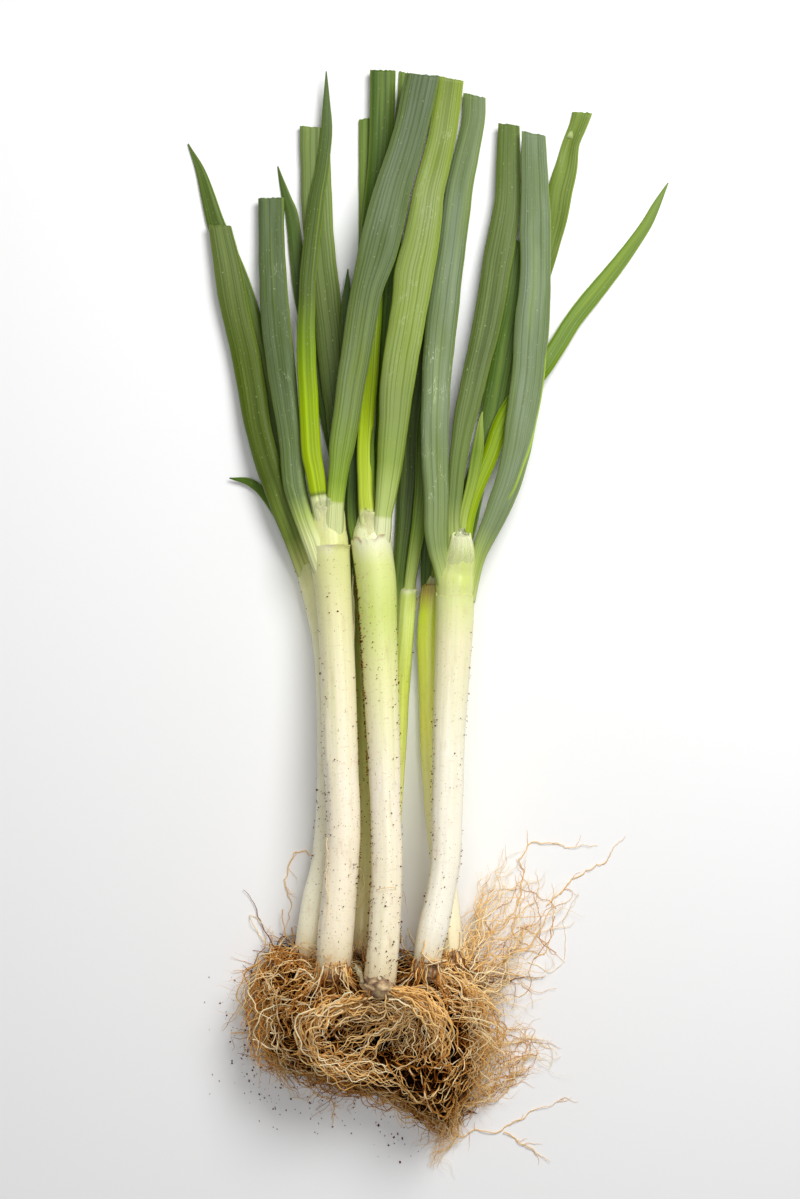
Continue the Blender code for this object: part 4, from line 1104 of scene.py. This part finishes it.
# arc is where a skin starts and ends round its stem, in degrees: 0 is the left side, 90 the top and 180
# the right side
skins = {
    "a_torn_skin": {"stem": "a", "y": (38, 54), "arc": (30, 125), "lift": 0.5, "ragged": 1.4, "curl": 0.5,
                    "folds": 0.7, "clear": True},
    "a_peeling_strip": {"stem": "a", "y": (-22, 22), "arc": (168, 206), "lift": 0.7, "ragged": 2.0,
                        "curl": 0.8, "folds": 0.5},
    "b_brown_collar": {"stem": "b", "y": (34, 48), "arc": (20, 115), "lift": 0.3, "ragged": 1.4,
                       "curl": 0.3, "folds": 0.3},
    "b_root_scale": {"stem": "b", "y": (-151, -141), "arc": (-40, 30), "lift": 0.8, "ragged": 2.0,
                     "curl": 3.4, "folds": 0.4},
    "c_clear_collar": {"stem": "c", "y": (20, 40), "arc": (40, 150), "lift": 0.4, "ragged": 1.4,
                       "curl": 0.4, "folds": 0.5, "clear": True},
    "f_collar_flap": {"stem": "f", "y": (2, 12), "arc": (140, 215), "lift": 0.4, "ragged": 1.6,
                      "curl": 1.6, "folds": 0.2},
}


def makeSkin(name, spec, number, papery):
    rng = np.random.default_rng(900 + number)
    stations, _ = stemStations(spec["stem"], 0.6)
    low, high = spec["y"]
    count, sides = 50, 70
    angle = np.radians(np.linspace(*spec["arc"], sides))
    across = np.linspace(-1, 1, sides)  # the torn edge runs lower towards both of its ends
    top = high - (high - low) * 0.7 * np.abs(across) ** 3
    torn = spec["ragged"] * crumple(rng, across * 3, 0, 3) * (1 - across ** 2)
    top += torn + rng.normal(0, 0.15, sides)
    bottom = low + 1.2 * crumple(rng, across * 3, 0, 4)
    share = np.linspace(0, 1, count)[:, None]
    y = bottom + (np.maximum(top, bottom + 0.5) - bottom) * share
    creases = spec["folds"] * crumple(rng, across * 4, share * 3, 2.5)
    flare = spec["curl"] * ramp(share, 0.7, 1) ** 2 * (1 + 0.6 * crumple(rng, across * 3, 0, 3))
    centre = np.stack([np.interp(y, stations[:, 1], stations[:, k]) for k in (0, 2, 3)])
    free = ramp(share, 0, 0.5) * (1 - ramp(np.abs(across), 0.7, 1))  # elsewhere it sinks into the stem
    flat = flatnessAt(stations[-1, 1] - y, 0.64)
    layers = []
    for thickness in (0.12, 0):
        radius = centre[2] / 2 - 0.5 + (spec["lift"] + 0.5 + creases) * free + flare + thickness
        layers.append(np.stack([centre[0] - radius * np.cos(angle), y,
                                centre[1] + radius * flat * np.sin(angle)], axis=2))
    sheet = np.concatenate([layers[0], layers[1][:, ::-1]], axis=1)
    rim = np.maximum(ramp(share, 0.93, 1) * np.ones(sides), ramp(np.abs(across), 0.95, 1))
    rim *= 0.3 + 0.3 * crumple(rng, across * 6, share * 4, 3)
    mesh = loftMesh(f"{name}_film", sheet, np.linspace(0, high - low, count),
                    {"edge": np.concatenate([rim, rim[:, ::-1]], axis=1)})
    mesh.flip_normals()
    addPiece(f"{name}_film", mesh, papery, [name])


crumbs = {"onStem": {"a": 260, "b": 360, "c": 150, "d": 90, "e": 150, "f": 50, "g": 24},
          "stemSize": (0.2, 0.62), "onEdge": 150, "inMat": 520, "matSize": (0.3, 1.0), "onTable": 220,
          "tableSize": (0.2, 0.65), "stops": [(0.3, "#3a1805"), (0.55, "#6a3410"), (0.8, "#94581f")]}


def crumbMesh(name, places, sizes, rng):
    # small uneven grains, each an icosahedron with its corners moved
    golden = (1 + 5 ** 0.5) / 2
    corners = np.array([(0, a, b * golden) for a in (-1, 1) for b in (-1, 1)], float)
    corners = np.vstack([corners, corners[:, [1, 2, 0]], corners[:, [2, 0, 1]]])
    near = [[j for j in range(12) if j != i and np.linalg.norm(corners[i] - corners[j]) < 2.1]
            for i in range(12)]
    sides = [(i, j, k) for i in range(12) for j in near[i] for k in near[j] if i < j < k and k in near[i]]
    # the determinant of its three corners says whether a side faces outwards
    sides = [side if np.linalg.det(corners[list(side)]) > 0 else side[::-1] for side in sides]
    points = [np.array(place)
              + corners / 1.9 * size * rng.uniform(0.5, 1.2, (12, 1)) * rng.uniform(0.6, 1, 3)
              for place, size in zip(places, sizes)]
    points = np.vstack(points)
    points[:, 2] = np.maximum(points[:, 2], 0.05)
    mesh = bpy.data.meshes.new(name)
    faces = [tuple(i + 12 * n for i in side) for n in range(len(places)) for side in sides]
    mesh.from_pydata((points * mm).tolist(), [], faces)
    return mesh


def makeCrumbs():
    rng = np.random.default_rng(321)
    loam = crumblySoil("looseLoam", crumbs["stops"])
    places, sizes = [], []
    for plant, count in crumbs["onStem"].items():
        stations, _ = stemStations(plant)
        clusters = [(rng.beta(1.1, 1.9) * 0.94, rng.choice([rng.uniform(0.1, 0.9), 0.12, 0.9]))
                    for _ in range(count // 6)]
        for _ in range(count):
            along, around = clusters[rng.integers(len(clusters))]
            at = int(len(stations) * np.clip(along + rng.normal(0, 0.03), 0, 0.97))
            turn = math.pi * np.clip(around + rng.normal(0, 0.07), 0.02, 0.98)
            x, y, z, width = stations[at]
            out = width / 2 + 0.6
            y += rng.uniform(-0.8, 0.8)
            places.append((x - out * math.cos(turn), y, z + out * math.sin(turn)))
            sizes.append(rng.uniform(*crumbs["stemSize"]) * rng.uniform(0.4, 1))
    middle = stemStations("b")[0]
    inMat = rng.uniform(matOutline.min(axis=0), matOutline.max(axis=0), (2 * crumbs["inMat"], 2))
    inMat = inMat[depthInside(matOutline, inMat) > 2][:crumbs["inMat"]]
    heights = matTop(inMat) * rng.uniform(0.3, 0.95, len(inMat))
    places += np.column_stack([inMat, heights]).tolist()
    sizes += rng.uniform(*crumbs["matSize"], len(inMat)).tolist()
    for _ in range(crumbs["onEdge"]):  # a line of soil caught on the left edge of the middle stem
        y = rng.uniform(-62, 22)
        x, z, width = [np.interp(y, middle[:, 1], middle[:, k]) for k in (0, 2, 3)]
        turn, out = abs(rng.normal(0, 0.3)), width / 2 + 0.9
        places.append((x - out * math.cos(turn), y, z + out * math.sin(turn)))
        sizes.append(rng.uniform(*crumbs["stemSize"]))
    addPiece("soil_crumbs", crumbMesh("soil_crumbs", places, sizes, rng), loam)
    # grains that have dropped on the table, most of them below the mat
    count = crumbs["onTable"]
    edge = matOutline[rng.integers(2, 9, count)] + rng.normal(0, 7, (count, 2)) + (-5, -8)
    edge = edge[depthInside(matOutline, edge) < -1]
    mesh = crumbMesh("spilt_soil", np.column_stack([edge, np.full(len(edge), 0.15)]),
                     rng.uniform(*crumbs["tableSize"], len(edge)), rng)
    spilt = bpy.data.objects.new("spilt_soil", mesh)
    bpy.context.scene.collection.objects.link(spilt)
    mesh.materials.append(loam)


for plant in stems:
    makeStem(plant)
print("stems rolled:", len(stems))
for plant, spec in outerSheaths.items():
    makeOuterSheath(plant, spec)
print("outer sheaths torn:", len(outerSheaths))
for number, (name, spec) in enumerate(leaves.items()):
    makeLeaf(name, spec, number)
print("leaves laid:", len(leaves))
for plant, spec in rootPlates.items():
    makeRootPlate(plant, spec)
makeRoots()
makeSoil()
print("root groups grown:", len(rootGroups) + len(tangles) + len(feet))
clearSkin = paperySkin("moistLigule", [(0.3, "#d9dea0"), (0.55, "#eff0cf"), (0.8, "#faf9e8")], 0.28,
                       "#f3f2da")
dryPaper = paperySkin("driedOuterSkin", [(0.3, "#cdb98a"), (0.55, "#e6e0b4"), (0.8, "#f2ecd2")], 0.25,
                      "#c2a877")
for number, (name, spec) in enumerate(skins.items()):
    makeSkin(name, spec, number, clearSkin if "clear" in spec else dryPaper)
print("skins torn:", len(skins))
makeCrumbs()

# in metres and watts; the height of the frame is measured 12 mm above the table, where the stems lie
studio = {"tableReach": 3.0, "tableColour": "#f6f6f6", "worldColour": "#ffffff", "worldStrength": 0.22,
          "keyPlace": (0.32, 0.54, 0.76), "keySize": 0.52, "keyPower": 8.9,
          "fillPlace": (-0.1, -0.05, 1.5), "fillSize": 0.8, "fillPower": 4.4, "cameraHeight": 1.6,
          "cameraAboveTable": 1.612, "frameHeight": 0.5036, "framePlace": (-0.012, 0.0107),
          "filmHeight": 24}


def makeStudio():
    reach = studio["tableReach"]
    corners = [(-reach, -reach, 0), (reach, -reach, 0), (reach, reach, 0), (-reach, reach, 0)]
    table = bpy.data.meshes.new("table")
    table.from_pydata(corners, [], [(0, 1, 2, 3)])
    obj = bpy.data.objects.new("table", table)
    bpy.context.scene.collection.objects.link(obj)
    # satin melamine board: white, with almost no shine
    laminate, _, inputs = newMaterial("whiteLaminate", 0.6)
    inputs["Base Color"].default_value = linear(studio["tableColour"])
    table.materials.append(laminate)
    world = bpy.data.worlds.new("softRoom")
    world.use_nodes = True
    sky = world.node_tree.nodes["Background"]
    sky.inputs["Color"].default_value = linear(studio["worldColour"])
    sky.inputs["Strength"].default_value = studio["worldStrength"]
    bpy.context.scene.world = world
    for part in ("key", "fill"):
        lamp = bpy.data.lights.new(f"{part}_softbox", "AREA")
        lamp.shape, lamp.size, lamp.energy = "DISK", studio[f"{part}Size"], studio[f"{part}Power"]
        softbox = bpy.data.objects.new(f"{part}_softbox", lamp)
        softbox.location = studio[f"{part}Place"]
        softbox.rotation_euler = (-Vector(softbox.location)).to_track_quat("-Z", "Y").to_euler()
        bpy.context.scene.collection.objects.link(softbox)
    lens = bpy.data.cameras.new("overhead")
    lens.sensor_fit = "VERTICAL"
    lens.sensor_height = studio["filmHeight"]
    lens.lens = studio["filmHeight"] * studio["cameraHeight"] / studio["frameHeight"]
    camera = bpy.data.objects.new("overhead", lens)
    camera.location = (*studio["framePlace"], studio["cameraAboveTable"])
    bpy.context.scene.collection.objects.link(camera)
    bpy.context.scene.camera = camera


makeStudio()
bpy.context.scene.view_settings.view_transform = "Standard"
